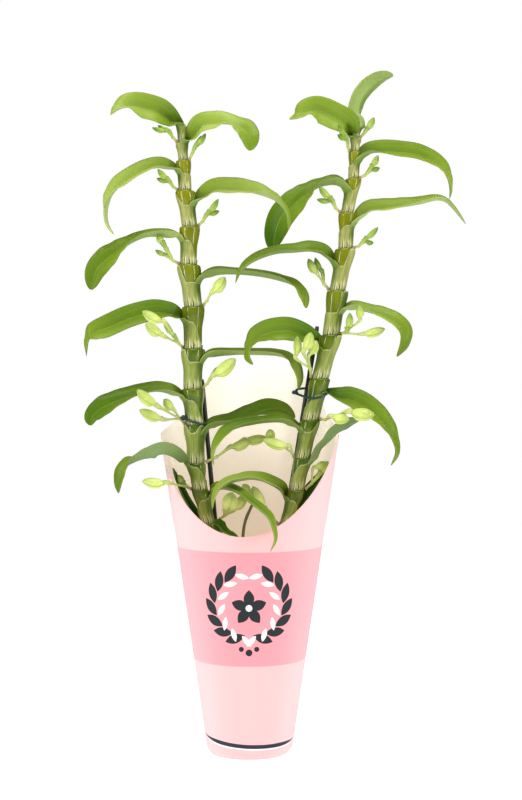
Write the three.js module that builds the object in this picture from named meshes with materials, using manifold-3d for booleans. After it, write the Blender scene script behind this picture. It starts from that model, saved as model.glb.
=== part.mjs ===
// A potted dendrobium orchid in its paper sleeve: two jointed canes with sheaths, strap leaves and closed buds,
// tied to stakes, growing in a pot of bark. Millimetres, +Z up, the front faces -Y.

import * as THREE from 'three';
import { mergeVertices } from 'three/addons/utils/BufferGeometryUtils.js';
import Module from 'manifold-3d';

const wasm = await Module();
wasm.setup();

// ---- driving dimensions ------------------------------------------------------------------------------------

// Points of canes, leaves and buds are set out as they appear on the plane y = 0 to someone standing at EYE, and
// then slid along their sight line to the depth given with them.
const EYE = new THREE.Vector3(10, -1218, 304);
// The sleeve's axis, measured from the middle of the whole plant's footprint.
const SLEEVE_PLACE = { x: -24.9, y: -1.2 };

const GAP = 0.35; // clearance between pieces that touch
const LEFT = -1;
const RIGHT = 1;

const SLEEVE = {
  footRadius: 36.8,
  flare: 0.15, // radius gained per mm of height
  wall: 0.8,
  turn: 5, // degrees clockwise, seen from above
  frontRim: 191,
  sideRim: 275,
  // rim height behind the side folds: [degrees from the front, mm]
  backRim: [[90, 275], [110, 281], [126, 291], [131, 300], [144, 318], [155, 334], [180, 334]],
  footLift: 3.5, // the foot's edge is raised at the side folds
  footFlat: 50, // degrees either side of front and back where it stands flat
  columns: 72,
};

const POT = { sides: 32, height: 92, rimBand: 9, wall: 1.6, bodyInset: 1.6, base: 2, holeRadius: 4, holes: 4, holeRing: 20 };
const BARK = { sides: 32, top: 82, mound: 3, relief: 1.6, footDepth: 40 };

// Each cane's nodes from the top down: [x, z, radius of the length above it, share of that length in its sheath].
const CANE_TOP = { left: [-59.5, 544, 2.6], right: [93.5, 539.5, 2.2] };
const CANE_NODES = {
  left: [
    [-59, 528, 3.4, 0.9], [-57.5, 512, 4.4, 0.95], [-56, 486, 5.9, 0.57], [-52, 454.5, 7.3, 0.58],
    [-53, 421.5, 8, 0.63], [-49, 385, 8.7, 0.57], [-49, 348.5, 8.9, 0.64], [-49.5, 313.5, 8.9, 0.67],
    [-47.5, 282.5, 8.9, 0.69], [-46.5, 249, 8.4, 0.79], [-43, 226, 7.4, 0.88], [-36, 197, 6.9, 0.7],
    [-29, 171, 6.6, 0.7], [-22, 145, 6.4, 0.7], [-16, 120, 6.2, 0.7],
  ],
  right: [
    [92.5, 532, 3, 0.9], [91.5, 520, 3.9, 0.95], [90.5, 496.5, 4.9, 0.55], [85, 466.5, 6, 0.62],
    [83.5, 435.5, 6.9, 0.64], [76.5, 399, 7.7, 0.57], [71, 360.5, 8.3, 0.5], [61.5, 322.5, 8.3, 0.66],
    [53, 286.5, 8.1, 0.61], [46, 253.5, 7.3, 0.69], [41, 225.5, 7, 0.81], [32, 195, 6.8, 0.72],
    [25, 168, 6.5, 0.7], [19, 142, 6.3, 0.7], [14, 118, 6.1, 0.7],
  ],
};
const CANE_FOOT = { left: [-11, 44], right: [11, 44] };
const CANE_LEAN = { left: -10, right: 12 }; // how far the top leans to front (-) or back
const SHEATH_STEP = 0.7; // a sheath stands this far out from the bare cane above it
const CANE_SIDES = 10;
const OLD_SHOOT = { radius: 1.7, points: [[9, 4, 96], [1, 10, 120], [-5, 12, 150], [-6, 11, 178], [-4, 9, 197], [3, 8, 214]] };

// Leaves, one to a node from the top down, left and right in turn: width, then points from the cane outwards as
// [x, depth, z, roll]. The depth is from the cane's own, and roll is 0 with the blade edge-on to the front, 90
// with its upper side square to it, and negative where its underside shows.
const LEAF_THICKNESS = 0.9;
const LEAF_FOLD = 15; // each half rises this many degrees from flat
const LEAF_STATIONS = 12;
const LEAF_SEAT = 0.45; // the middle of a blade's foot stands this far off the sheath it grows from
const LEAF_RISE = { out: 1.6, up: 5 }; // the first step of each blade, nearly along the cane
const LEAVES = {
  left: [
    { width: 25, path: [[-78, -9, 555, 78], [-91, -14, 560, 80], [-104, -20, 564, 42], [-114, -26, 563, 14], [-120, -30, 557, 10]] },
    { width: 24, path: [[-43, -8, 543, 60], [-30, -12, 546, 55], [-16, -17, 546, 24], [-5, -22, 541, 50], [1, -26, 534, 55], [1, -28, 524, 40]] },
    { width: 23, path: [[-79, -4, 509, 38], [-95, -7, 504, 42], [-111, -10, 494, 45], [-121, -12, 484, 28], [-125, -14, 471, 8], [-124, -15, 458, 8], [-118, -16, 448, 8]] },
    { width: 24, path: [[-32, -2, 488, 48], [-15, -8, 489, 48], [1, -14, 487, 40], [16, -20, 483, 20], [26, -24, 477, 10], [33, -27, 466, 12], [34, -28, 452, 14]] },
    { width: 24, path: [[-70, -4, 449, 12], [-88, -6, 449, 14], [-102, -8, 444, 22], [-114, -10, 436, 42], [-125, -13, 427, 70], [-134, -16, 416, 85], [-138, -18, 400, 80]] },
    { width: 23, path: [[-30, 4, 416, 15], [-10, 6, 416, 12], [10, 8, 414, 11], [27, 9, 410, 12], [40, 9, 404, 25], [47, 8, 394, 40], [49, 7, 384, 38]] },
    { width: 24, path: [[-70, -6, 381, 50], [-85, -10, 381, 62], [-104, -14, 376, 66], [-125, -18, 367, 68], [-135, -20, 363, 60], [-141, -20, 356, 22], [-142, -19, 342, 8]] },
    { width: 22, path: [[-31, 4, 345, 12], [-15, 7, 346, 9], [4, 9, 346, 9], [23, 10, 345, 11], [34, 10, 341, 20], [40, 9, 333, 32], [43, 8, 323, 30], [42, 7, 313, 24]] },
    { width: 24, path: [[-70, -5, 313, 18], [-83, -8, 314, 24], [-100, -12, 310, 30], [-116, -16, 304, 42], [-128, -19, 298, 62], [-137, -22, 290, 75], [-139, -23, 282, 75]] },
    { width: 24, path: [[-30, 3, 284, 22], [-14, 13, 289, 24], [2, 20, 294, 34], [16, 22, 297, 44], [27, 22, 296, 44], [34, 19, 292, 38], [39, 16, 288, 25]] },
    { width: 22, path: [[-64, -14, 256, -26], [-76, -34, 259, -44], [-89, -39, 256, -30], [-99, -40, 253, -8], [-107, -39, 248, 28], [-112, -38, 240, 40], [-114, -37, 231, 38], [-114, -36, 223, 30]] },
    { width: 20, path: [[-29, -8, 228, 16], [-19, -20, 228, 14], [-9, -33, 224, 15], [0, -46, 217, 17], [9, -58, 210, 17], [17, -68, 202, 17], [21, -76, 191, 17], [22, -78, 182, 16], [18, -77, 172, 14]] },
    { width: 16, path: [[-47, 5, 204, 20], [-56, 6, 219, 18], [-63, 7, 234, 15], [-67, 8, 245, 12]] },
    { width: 16, path: [[-27, -22, 196, 20], [-20, -34, 192, 20], [-12, -42, 187, 15], [-5, -44, 178, 15]] },
  ],
  right: [
    { width: 22, path: [[93, 4, 553, -38], [96, 8, 565, -42], [102, 12, 574, -40], [110, 16, 581, -36], [118, 19, 585, -30], [125, 21, 586, -20]] },
    { width: 26, path: [[85, -13, 544, 75], [73, -15, 551, 88], [61, -16, 556, 88], [51, -20, 556, 60], [44, -23, 551, 30], [36, -26, 549, 35]] },
    { width: 24, path: [[104, 4, 521, 42], [115, 7, 522, 47], [130, 11, 521, 50], [145, 14, 519, 50], [158, 17, 514, 46], [167, 19, 508, 38], [173, 20, 498, 25], [175, 21, 488, 12], [174, 21, 479, 10]] },
    { width: 26, path: [[75, 3, 495, 20], [65, 3, 494, 14], [56, 3, 490, 24], [47, 2, 483, 48], [37, 1, 474, 75], [28, 0, 464, 88], [23, -1, 452, 88], [21, -2, 442, 80], [21, -3, 434, 70]] },
    { width: 23, path: [[103, 3, 470, 42], [116, 5, 472, 40], [131, 7, 474, 32], [148, 9, 477, 21], [162, 11, 480, 16], [171, 12, 478, 14], [178, 13, 471, 13], [184, 14, 463, 12], [188, 14, 457, 12]] },
    { width: 23, path: [[65, -3, 433, 34], [54, -6, 436, 32], [40, -10, 435, 25], [24, -18, 434, 20], [11, -23, 430, 22], [0, -28, 424, 20], [-8, -32, 416, 10], [-12, -34, 406, 9]] },
    { width: 22, path: [[92, -2, 386, 18], [103, -4, 383, 24], [115, -7, 379, 34], [127, -10, 373, 42], [134, -12, 365, 46], [134, -14, 354, 36], [128, -15, 342, 25]] },
    { width: 25, path: [[56, -5, 358, 60], [46, -8, 364, 68], [33, -11, 366, 68], [20, -14, 364, 64], [9, -18, 360, 52], [2, -20, 353, 26], [-1, -21, 347, 12], [-1, -22, 341, 22], [3, -23, 335, 20]] },
    { width: 24, path: [[77, -4, 308, 45], [87, -7, 306, 55], [98, -10, 301, 58], [109, -13, 293, 50], [119, -15, 282, 38], [126, -17, 269, 22], [128, -18, 258, 16], [123, -19, 247, 12]] },
    { width: 22, path: [[31, -8, 287, 11], [16, -13, 287, 10], [2, -15, 285, 11], [-11, -16, 282, 18], [-21, -18, 276, 28], [-28, -19, 267, 24], [-32, -20, 257, 10], [-31, -20, 247, 8]] },
    { width: 20, path: [[60, -8, 262, -12], [68, -15, 270, -18], [76, -20, 277, -26], [85, -21, 283, -22], [97, -19, 287, -14]] },
    { width: 21, path: [[27, -6, 228, 24], [16, -11, 234, 22], [4, -16, 237, 15], [-8, -24, 236, 11], [-19, -32, 233, 10], [-27, -39, 227, 12], [-31, -43, 218, 15], [-32, -44, 209, 13]] },
    { width: 17, path: [[45, 5, 213, 38], [53, 6, 225, 42], [60, 7, 235, 40], [65, 8, 244, 30]] },
  ],
};
const FIRST_LEAF_SIDE = { left: LEFT, right: RIGHT };

// Bud sprays, one to a node like the leaves: each bud as [base x, depth, z], [tip x, depth, z], radius.
const STALK_RADIUS = 1.2;
const STALK_SIDES = 4;
const BUD_SIDES = 6;
const BUDS = {
  left: [
    [{ base: [-72, -14, 538], tip: [-85, -17, 541], radius: 2.2 }, { base: [-71, -10, 539], tip: [-80, -10, 543], radius: 1.8 }],
    [{ base: [-46.5, -10, 525], tip: [-38, -12, 536], radius: 2.5 }, { base: [-47.5, -5, 525], tip: [-42, -3, 534], radius: 1.8 }],
    [{ base: [-71, -12, 496], tip: [-80, -14, 505], radius: 2.6 }, { base: [-71, -9, 494], tip: [-81, -10, 497], radius: 2.2 }],
    [{ base: [-36, -12, 467], tip: [-27, -15, 479], radius: 2.6 }, { base: [-36, -9, 466], tip: [-26, -10, 468.5], radius: 2.4 }],
    [{ base: [-75, -9, 440], tip: [-80, -10, 448], radius: 3.1 }, { base: [-73, -6, 430], tip: [-82, -7, 434.5], radius: 2.2 }],
    [{ base: [-33, -12, 397], tip: [-21, -14, 411], radius: 5 }],
    [
      { base: [-75, -30, 372], tip: [-93.5, -34, 381.5], radius: 4.3 },
      { base: [-75, -18, 360], tip: [-90.5, -22, 371], radius: 4.6 },
      { base: [-65, -15, 359], tip: [-75, -21, 375], radius: 2.6 },
    ],
    [{ base: [-32, -10, 325], tip: [-12, -14, 340], radius: 5.8 }, { base: [-29, -1, 329], tip: [-15, 2, 338], radius: 3.2 }],
    [
      { base: [-80, -24, 299], tip: [-98, -30, 313], radius: 4.8 },
      { base: [-75, -16, 287.5], tip: [-96, -20, 295.5], radius: 4.5 },
      { base: [-65.5, -10, 295], tip: [-74.5, -12, 305], radius: 4 },
    ],
    [{ base: [-17, 0, 263], tip: [1, -1, 268], radius: 4.6 }, { base: [-5, 9, 269], tip: [15, 8, 271.5], radius: 4.4 }],
    [{ base: [-72, -46, 232], tip: [-93.5, -50, 233.5], radius: 4.4 }, { base: [-57, 6, 231], tip: [-62, 6, 239], radius: 3.2 }],
    [{ base: [-20.5, -12, 206], tip: [-15, -14, 223], radius: 5.6 }, { base: [-14.5, -4, 208], tip: [-3, -2, 221], radius: 4 }],
  ],
  right: [
    [{ base: [101.5, -5, 539], tip: [108.5, -8, 550], radius: 3 }],
    [{ base: [84, -20, 533], tip: [77.5, -24, 544], radius: 2.4 }, { base: [84, -18, 530.5], tip: [76.5, -23, 535], radius: 2.2 }],
    [{ base: [106, -8, 507], tip: [112, -10, 517], radius: 2.8 }, { base: [106.5, -5, 504], tip: [113.5, -6, 506], radius: 2.3 }],
    [{ base: [71, -9, 479], tip: [60.5, -11, 490], radius: 3 }, { base: [70, -6, 477], tip: [58.5, -7, 478.5], radius: 2.4 }],
    [{ base: [100.5, -6, 444], tip: [112, -8, 454.5], radius: 2.6 }, { base: [101.5, -3, 441.5], tip: [108, -3, 440.5], radius: 2.3 }],
    [{ base: [59.5, 3, 413], tip: [51, 4, 427], radius: 3.6 }, { base: [63, 5, 415.5], tip: [57, 8, 428], radius: 2.6 }],
    [
      { base: [95.5, -17, 374], tip: [96, -19, 387], radius: 3.6 },
      { base: [85, -14, 365], tip: [87.5, -15, 380], radius: 3.2 },
      { base: [98, -8, 361.5], tip: [118, -10, 366], radius: 4 },
    ],
    [
      { base: [40.5, -20, 341.5], tip: [41.5, -22, 360], radius: 3.6 },
      { base: [47.5, -24, 346.5], tip: [53.5, -27, 363], radius: 4.6 },
      { base: [52, -18, 343], tip: [58.5, -19, 356], radius: 4.3 },
    ],
    [{ base: [71, -30, 290], tip: [87, -35, 287], radius: 4.6 }, { base: [87, -35, 294], tip: [109, -39, 291], radius: 5.6 }],
    [{ base: [34.5, -12, 264], tip: [11.5, -17, 270], radius: 4.6 }, { base: [19, -2, 272], tip: [17.5, -13, 277], radius: 4.2 }],
    [{ base: [56.5, -2, 245], tip: [67, -3, 250], radius: 3.4 }, { base: [61, 2, 240], tip: [68.5, 3, 251], radius: 3.2 }],
    [{ base: [13.5, -10, 210], tip: [2.5, -12, 228], radius: 4.4 }, { base: [1, -3, 223], tip: [-6, -3, 231], radius: 3.4 }],
  ],
};

// Stakes as seen from the front: top and foot [x, depth, z].
const STAKE = { radius: 2.1, sides: 8 };
const STAKES = {
  left: { top: [-41.5, 8.2, 322], foot: [-16, 9.3, 52] },
  right: { top: [59, 11.5, 368], foot: [7.5, 9.5, 52] },
};
const TIE = { radius: 0.9, slack: 0.85, lap: 22, tail: 7, steps: 26, sides: 4 };
const TIES = { left: { z: 288, slope: -0.1, start: 150 }, right: { z: 309.5, slope: 0.16, start: 185 } };

// ---- helpers -----------------------------------------------------------------------------------------------

const radians = THREE.MathUtils.degToRad;
const { lerp, smoothstep } = THREE.MathUtils;

function setOut(x, depth, z) {
  const reach = (depth - EYE.y) / -EYE.y;
  return new THREE.Vector3(lerp(EYE.x, x, reach), depth, lerp(EYE.z, z, reach));
}

// A closed solid from a geometry class: its shared corners merged and its collapsed faces dropped.
function solid(geometry) {
  const bare = geometry.clone();
  bare.deleteAttribute('normal');
  bare.deleteAttribute('uv');
  const merged = mergeVertices(bare, 1e-4);
  const corners = merged.index.array;
  const kept = [];
  for (let i = 0; i < corners.length; i += 3) {
    const [a, b, c] = corners.slice(i, i + 3);
    if (a !== b && b !== c && c !== a) kept.push(a, b, c);
  }
  return new wasm.Manifold(new wasm.Mesh({
    numProp: 3,
    vertProperties: new Float32Array(merged.attributes.position.array),
    triVerts: new Uint32Array(kept),
  }));
}

function geometryOf(manifold) {
  const mesh = manifold.getMesh();
  const geometry = new THREE.BufferGeometry();
  geometry.setAttribute('position', new THREE.BufferAttribute(mesh.vertProperties, 3));
  geometry.setIndex(new THREE.BufferAttribute(mesh.triVerts, 1));
  return geometry;
}

const union = (pieces) => pieces.reduce((whole, piece) => whole.add(piece));

// A closed skin over rings of equal count. The strips listed last are split along their other diagonal.
function skin(rings, capFaces, otherDiagonal = []) {
  const count = rings[0].length;
  const index = [];
  for (let i = 0; i + 1 < rings.length; i++) {
    for (let j = 0; j < count; j++) {
      const [a, b] = [i * count + j, i * count + (j + 1) % count];
      const [c, d] = [b + count, a + count];
      if (otherDiagonal.includes(j)) index.push(a, b, d, b, c, d);
      else index.push(a, b, c, a, c, d);
    }
  }
  const last = (rings.length - 1) * count;
  for (const [a, b, c] of capFaces) index.push(a, c, b, last + a, last + b, last + c);
  const geometry = new THREE.BufferGeometry().setFromPoints(rings.flat());
  geometry.setIndex(index);
  return geometry;
}

const fan = (count) => Array.from({ length: count - 2 }, (_, i) => [0, i + 1, i + 2]);

// A solid of revolution about +Z from a profile of [radius, z].
function turned(profile, sides) {
  const lathe = new THREE.LatheGeometry(profile.map(([r, z]) => new THREE.Vector2(r, z)), sides);
  return lathe.rotateX(Math.PI / 2);
}

function rod(points, radius, sides, steps) {
  const section = new THREE.Shape(
    Array.from({ length: sides }, (_, i) => {
      const angle = (i / sides) * 2 * Math.PI;
      return new THREE.Vector2(radius * Math.cos(angle), radius * Math.sin(angle));
    }),
  );
  const path = new THREE.CatmullRomCurve3(points);
  return new THREE.ExtrudeGeometry(section, { steps, extrudePath: path, bevelEnabled: false });
}

// ---- canes -------------------------------------------------------------------------------------------------

function caneDepth(side, z) {
  const share = Math.max(0, z - BARK.top) / (CANE_TOP[side][1] - BARK.top);
  return CANE_LEAN[side] * share * share;
}

function canePoint(side, x, z) {
  return setOut(x, caneDepth(side, z), z);
}

// Centre and radius of a cane at a share of the way up from one node to the next, the sheath left out.
function caneSection(side, node, share) {
  const nodes = CANE_NODES[side];
  const [x, z, radius] = nodes[node];
  const above = node > 0 ? nodes[node - 1] : CANE_TOP[side];
  const swell = 0.86 + 0.14 * smoothstep(share, 0, 0.75);
  return { centre: canePoint(side, lerp(x, above[0], share), lerp(z, above[1], share)), radius: radius * swell };
}

function caneRings(side) {
  const nodes = CANE_NODES[side];
  const [footX, footZ] = CANE_FOOT[side];
  const footRadius = nodes.at(-1)[2];
  const stations = [{ centre: canePoint(side, footX, footZ), radius: footRadius }];
  for (let node = nodes.length - 1; node >= 0; node--) {
    const cover = nodes[node][3];
    for (const [share, extra] of [[0, SHEATH_STEP], [cover - 0.02, SHEATH_STEP], [cover + 0.02, 0], [0.97, 0]]) {
      if (share > 0.97) continue;
      const at = caneSection(side, node, share);
      stations.push({ centre: at.centre, radius: at.radius + extra });
    }
  }
  const [topX, topZ, topRadius] = CANE_TOP[side];
  stations.push({ centre: canePoint(side, topX, topZ), radius: topRadius });
  return stations.map(({ centre, radius }) =>
    Array.from({ length: CANE_SIDES }, (_, i) => {
      const angle = (i / CANE_SIDES) * 2 * Math.PI;
      return new THREE.Vector3(radius * Math.cos(angle), radius * Math.sin(angle), 0).add(centre);
    }),
  );
}

const caneGeometry = (side) => skin(caneRings(side), fan(CANE_SIDES));

function rightCaneWithOldShoot() {
  const shoot = rod(OLD_SHOOT.points.map((p) => new THREE.Vector3(...p)), OLD_SHOOT.radius, 6, 12);
  return geometryOf(solid(caneGeometry('right')).add(solid(shoot)));
}

// ---- leaves ------------------------------------------------------------------------------------------------

function sideOf(side, index) {
  return index % 2 === 0 ? FIRST_LEAF_SIDE[side] : -FIRST_LEAF_SIDE[side];
}

// The blade's width along its length: drawn in where it clasps the cane, and rounded to a blunt tip.
function bladeWidth(share) {
  const base = 0.38 + 0.62 * smoothstep(share, 0, 0.32);
  const past = Math.max(0, share - 0.5) / 0.5;
  return base * Math.sqrt(Math.max(0.012, 1 - past ** 2.4));
}

function leafGeometry(side, index) {
  const { width, path } = LEAVES[side][index];
  const out = sideOf(side, index);
  const { centre, radius } = caneSection(side, index, CANE_NODES[side][index][3] - 0.04);
  const clasp = out * (radius + SHEATH_STEP + LEAF_SEAT);
  const points = [
    centre.clone().add(new THREE.Vector3(clasp, 0, 0)),
    centre.clone().add(new THREE.Vector3(clasp + out * LEAF_RISE.out, 0, LEAF_RISE.up)),
    ...path.map(([x, depth, z]) => setOut(x, caneDepth(side, z) + depth, z)),
  ];
  const rolls = [0, path[0][3] / 3, ...path.map((point) => point[3])];
  const curve = new THREE.CatmullRomCurve3(points, false, 'catmullrom', 0.5);
  const away = new THREE.Vector3(0, 1, 0);
  const rings = [];
  for (let i = 0; i < LEAF_STATIONS; i++) {
    const share = i / (LEAF_STATIONS - 1);
    const t = curve.getUtoTmapping(share);
    const along = curve.getTangent(t);
    const place = t * (rolls.length - 1);
    const before = Math.min(Math.floor(place), rolls.length - 2);
    const roll = radians(lerp(rolls[before], rolls[before + 1], place - before));
    const level = away.clone().addScaledVector(along, -along.y).normalize();
    const up = new THREE.Vector3().crossVectors(along, level).multiplyScalar(out);
    const across = level.clone().multiplyScalar(Math.cos(roll)).addScaledVector(up, Math.sin(roll));
    const face = up.clone().multiplyScalar(Math.cos(roll)).addScaledVector(level, -Math.sin(roll));
    const half = (width / 2) * bladeWidth(share);
    const fold = radians(LEAF_FOLD);
    const middle = curve.getPoint(t).addScaledVector(face, -half * Math.sin(fold) / 2);
    const corner = (sign, lift) =>
      middle.clone()
        .addScaledVector(across, sign * half * Math.cos(fold))
        .addScaledVector(face, Math.abs(sign) * half * Math.sin(fold) + lift * LEAF_THICKNESS / 2);
    const loop = [corner(-1, 1), corner(0, 1), corner(1, 1), corner(1, -1), corner(0, -1), corner(-1, -1)];
    rings.push(out > 0 ? loop.reverse() : loop);
  }
  const caps = [[0, 1, 4], [0, 4, 5], [1, 2, 3], [1, 3, 4]];
  return skin(rings, caps, [3, 4]);
}

// ---- bud sprays --------------------------------------------------------------------------------------------

const BUD_PROFILE = [[0, 0], [0.5, 0.06], [1, 0.38], [0.86, 0.7], [0.34, 0.94], [0, 1]];

function budSolid(base, tip, radius) {
  const axis = tip.clone().sub(base);
  const length = axis.length();
  const shape = turned(BUD_PROFILE.map(([r, z]) => [r * radius, z * length]), BUD_SIDES);
  const turn = new THREE.Quaternion().setFromUnitVectors(new THREE.Vector3(0, 0, 1), axis.normalize());
  return solid(shape.applyQuaternion(turn).translate(base.x, base.y, base.z));
}

function sprayGeometry(side, index) {
  const out = sideOf(side, index);
  const place = ([x, depth, z]) => setOut(x, caneDepth(side, z) + depth, z);
  const buds = BUDS[side][index].map(({ base, tip, radius }) => ({ base: place(base), tip: place(tip), radius }));
  const at = caneSection(side, index, 0.03);
  const root = at.centre.clone().add(new THREE.Vector3(out * (at.radius + SHEATH_STEP + GAP * 1.5), 0, 0));
  const nearest = buds.reduce((a, b) => (a.base.distanceTo(root) < b.base.distanceTo(root) ? a : b)).base;
  const rise = nearest.clone().sub(root).normalize();
  root.x += out * STALK_RADIUS * Math.hypot(rise.y, rise.z);
  const fork = root.clone().lerp(nearest, 0.5);
  fork.z -= 0.06 * nearest.distanceTo(root);
  const pieces = [solid(rod([root, root.clone().lerp(fork, 0.5), fork], STALK_RADIUS, STALK_SIDES, 2))];
  for (const { base, tip, radius } of buds) {
    const axis = tip.clone().sub(base).normalize();
    const stalk = [fork, base.clone().addScaledVector(axis, -1.5), base.clone().addScaledVector(axis, 2.5)];
    stalk[0].addScaledVector(rise, -0.4);
    pieces.push(solid(rod(stalk, STALK_RADIUS * 0.85, STALK_SIDES, 4)), budSolid(base, tip, radius));
  }
  return geometryOf(union(pieces));
}

// ---- stakes and ties ---------------------------------------------------------------------------------------

function stakeEnds(side) {
  return [STAKES[side].foot, STAKES[side].top].map(([x, depth, z]) => setOut(x, depth, z));
}

function bar(from, to, radius, sides) {
  const axis = to.clone().sub(from);
  const turn = new THREE.Quaternion().setFromUnitVectors(new THREE.Vector3(0, 1, 0), axis.clone().normalize());
  const middle = from.clone().lerp(to, 0.5);
  return new THREE.CylinderGeometry(radius, radius, axis.length(), sides)
    .applyQuaternion(turn)
    .translate(middle.x, middle.y, middle.z);
}

function atHeight(from, to, z) {
  return from.clone().lerp(to, (z - from.z) / (to.z - from.z));
}

function caneAtHeight(side, z) {
  const nodes = CANE_NODES[side];
  const node = nodes.findIndex((entry) => canePoint(side, entry[0], entry[1]).z < z);
  const low = caneSection(side, node, 0).centre;
  const high = caneSection(side, node, 1).centre;
  return caneSection(side, node, (z - low.z) / (high.z - low.z));
}

// A wire drawn once round cane and stake, its ends lapped a little apart in height and turned out in two tails.
function tieGeometry(side) {
  const { z, slope, start } = TIES[side];
  const [foot, top] = stakeEnds(side);
  const cane = caneAtHeight(side, z);
  const reach = TIE.radius + TIE.slack;
  const circles = [
    { at: cane.centre, radius: cane.radius + SHEATH_STEP + reach },
    { at: atHeight(foot, top, z), radius: STAKE.radius + reach },
  ];
  const sweep = 360 + TIE.lap;
  const points = Array.from({ length: TIE.steps + 1 }, (_, i) => {
    const angle = radians(start + (i / TIE.steps) * sweep);
    const normal = new THREE.Vector3(Math.cos(angle), Math.sin(angle), 0);
    const outer = circles.reduce((a, b) =>
      a.at.dot(normal) + a.radius > b.at.dot(normal) + b.radius ? a : b);
    const point = outer.at.clone().addScaledVector(normal, outer.radius);
    point.z = z + slope * (point.x - cane.centre.x) + (i / TIE.steps) * TIE.radius * 3;
    return point;
  });
  const tailOf = (end, next) =>
    end.clone().addScaledVector(end.clone().sub(cane.centre).setZ(0).normalize(), TIE.tail)
      .addScaledVector(end.clone().sub(next).normalize(), TIE.tail / 2);
  const path = [tailOf(points[0], points[1]), ...points, tailOf(points.at(-1), points.at(-2))];
  return rod(path, TIE.radius, TIE.sides, TIE.steps + 6);
}

// ---- sleeve, pot and bark ----------------------------------------------------------------------------------

function rimHeight(degrees) {
  const from = Math.abs(((degrees + 540) % 360) - 180);
  if (from <= 90) return SLEEVE.sideRim - (SLEEVE.sideRim - SLEEVE.frontRim) * Math.cos(radians(from));
  const edge = SLEEVE.backRim;
  const next = Math.max(1, edge.findIndex(([angle]) => angle >= from));
  const [[a0, z0], [a1, z1]] = [edge[next - 1], edge[next]];
  return lerp(z0, z1, (from - a0) / (a1 - a0));
}

function footHeight(degrees) {
  const limit = Math.sin(radians(SLEEVE.footFlat));
  const off = Math.abs(Math.sin(radians(degrees)));
  return SLEEVE.footLift * Math.max(0, off - limit) / (1 - limit);
}

const sleeveRadius = (z) => SLEEVE.footRadius + SLEEVE.flare * z;

function sleeveGeometry() {
  const outer = 1;
  const inner = 0;
  const shell = turned([[2, 0], [2, 1], [1, 1], [1, 0], [2, 0]], SLEEVE.columns);
  const place = shell.attributes.position;
  for (let i = 0; i < place.count; i++) {
    const [x, y, height] = [place.getX(i), place.getY(i), place.getZ(i)];
    const angle = Math.atan2(x, -y);
    const local = THREE.MathUtils.radToDeg(angle) + SLEEVE.turn;
    const side = Math.hypot(x, y) > 1.5 ? outer : inner;
    const z = lerp(footHeight(local), rimHeight(local), height);
    const radius = sleeveRadius(z) - (side === inner ? SLEEVE.wall : 0);
    place.setXYZ(i, radius * Math.sin(angle), -radius * Math.cos(angle), z);
  }
  return geometryOf(solid(shell));
}

const potRadius = (z) => sleeveRadius(z) - SLEEVE.wall - GAP;

function potGeometry() {
  const { height, rimBand, wall, bodyInset, base } = POT;
  const band = height - rimBand;
  const body = (z) => potRadius(z) - bodyInset;
  const shell = solid(turned([
    [0, 0], [body(0), 0], [body(band), band], [potRadius(band), band], [potRadius(height), height],
    [potRadius(height) - wall, height], [body(band) - wall, band - wall], [body(base) - wall, base], [0, base],
  ], POT.sides));
  const drains = Array.from({ length: POT.holes }, (_, i) => {
    const angle = (i / POT.holes) * 2 * Math.PI;
    const drill = new THREE.CylinderGeometry(POT.holeRadius, POT.holeRadius, base * 4, 10).rotateX(Math.PI / 2);
    return solid(drill.translate(POT.holeRing * Math.cos(angle), POT.holeRing * Math.sin(angle), 0));
  });
  return geometryOf(drains.reduce((pot, drain) => pot.subtract(drain), shell));
}

function barkGeometry() {
  const { top, mound, relief } = BARK;
  const floor = POT.base + GAP;
  const radius = (z) => potRadius(z) - POT.bodyInset - POT.wall - GAP;
  const mass = turned([
    [0, floor], [radius(floor), floor], [radius(top), top],
    [radius(top) * 0.8, top + mound * 0.4], [radius(top) * 0.55, top + mound * 0.8],
    [radius(top) * 0.28, top + mound], [0, top + mound],
  ], BARK.sides);
  const place = mass.attributes.position;
  for (let i = 0; i < place.count; i++) {
    if (place.getZ(i) <= top) continue;
    const [x, y] = [place.getX(i), place.getY(i)];
    const bump = Math.sin(x * 0.71 + 1.3) * Math.cos(y * 0.83 - 0.4) + 0.6 * Math.sin(x * 0.37 - y * 0.49);
    place.setZ(i, place.getZ(i) + relief * bump);
  }
  let bark = solid(mass);
  for (const side of ['left', 'right']) {
    const foot = canePoint(side, ...CANE_FOOT[side]);
    const node = CANE_NODES[side].at(-1);
    const hole = node[2] + SHEATH_STEP + GAP;
    const above = canePoint(side, node[0], node[1]);
    const low = foot.clone().lerp(above, -0.01);
    bark = bark.subtract(solid(bar(low, above, hole / Math.cos(Math.PI / 20), 20)));
    const [stakeFoot, stakeTop] = stakeEnds(side);
    const stakeLow = stakeFoot.clone().lerp(stakeTop, -0.005);
    bark = bark.subtract(solid(bar(stakeLow, stakeTop, STAKE.radius + GAP, 12)));
  }
  return geometryOf(bark);
}

// ---- assembly ----------------------------------------------------------------------------------------------

function paint(hex, roughness) {
  return new THREE.MeshStandardMaterial({ color: hex, roughness, metalness: 0 });
}

const finishes = {
  leaf: () => paint(0x5f9a2e, 0.4),
  cane: () => paint(0xa3ad62, 0.5),
  bud: () => paint(0xc2d873, 0.5),
  stake: () => paint(0x23291f, 0.5),
  tie: () => paint(0x1e4a3e, 0.35),
  sleeve: () => paint(0xf8c9cc, 0.6),
  pot: () => paint(0x2b2b2b, 0.5),
  bark: () => paint(0x5b3a24, 0.9),
};

const plant = new THREE.Group();
plant.position.set(SLEEVE_PLACE.x, SLEEVE_PLACE.y, 0);

function place(name, geometry, finish) {
  const mesh = new THREE.Mesh(geometry, finishes[finish]());
  mesh.name = name;
  plant.add(mesh);
}

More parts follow.
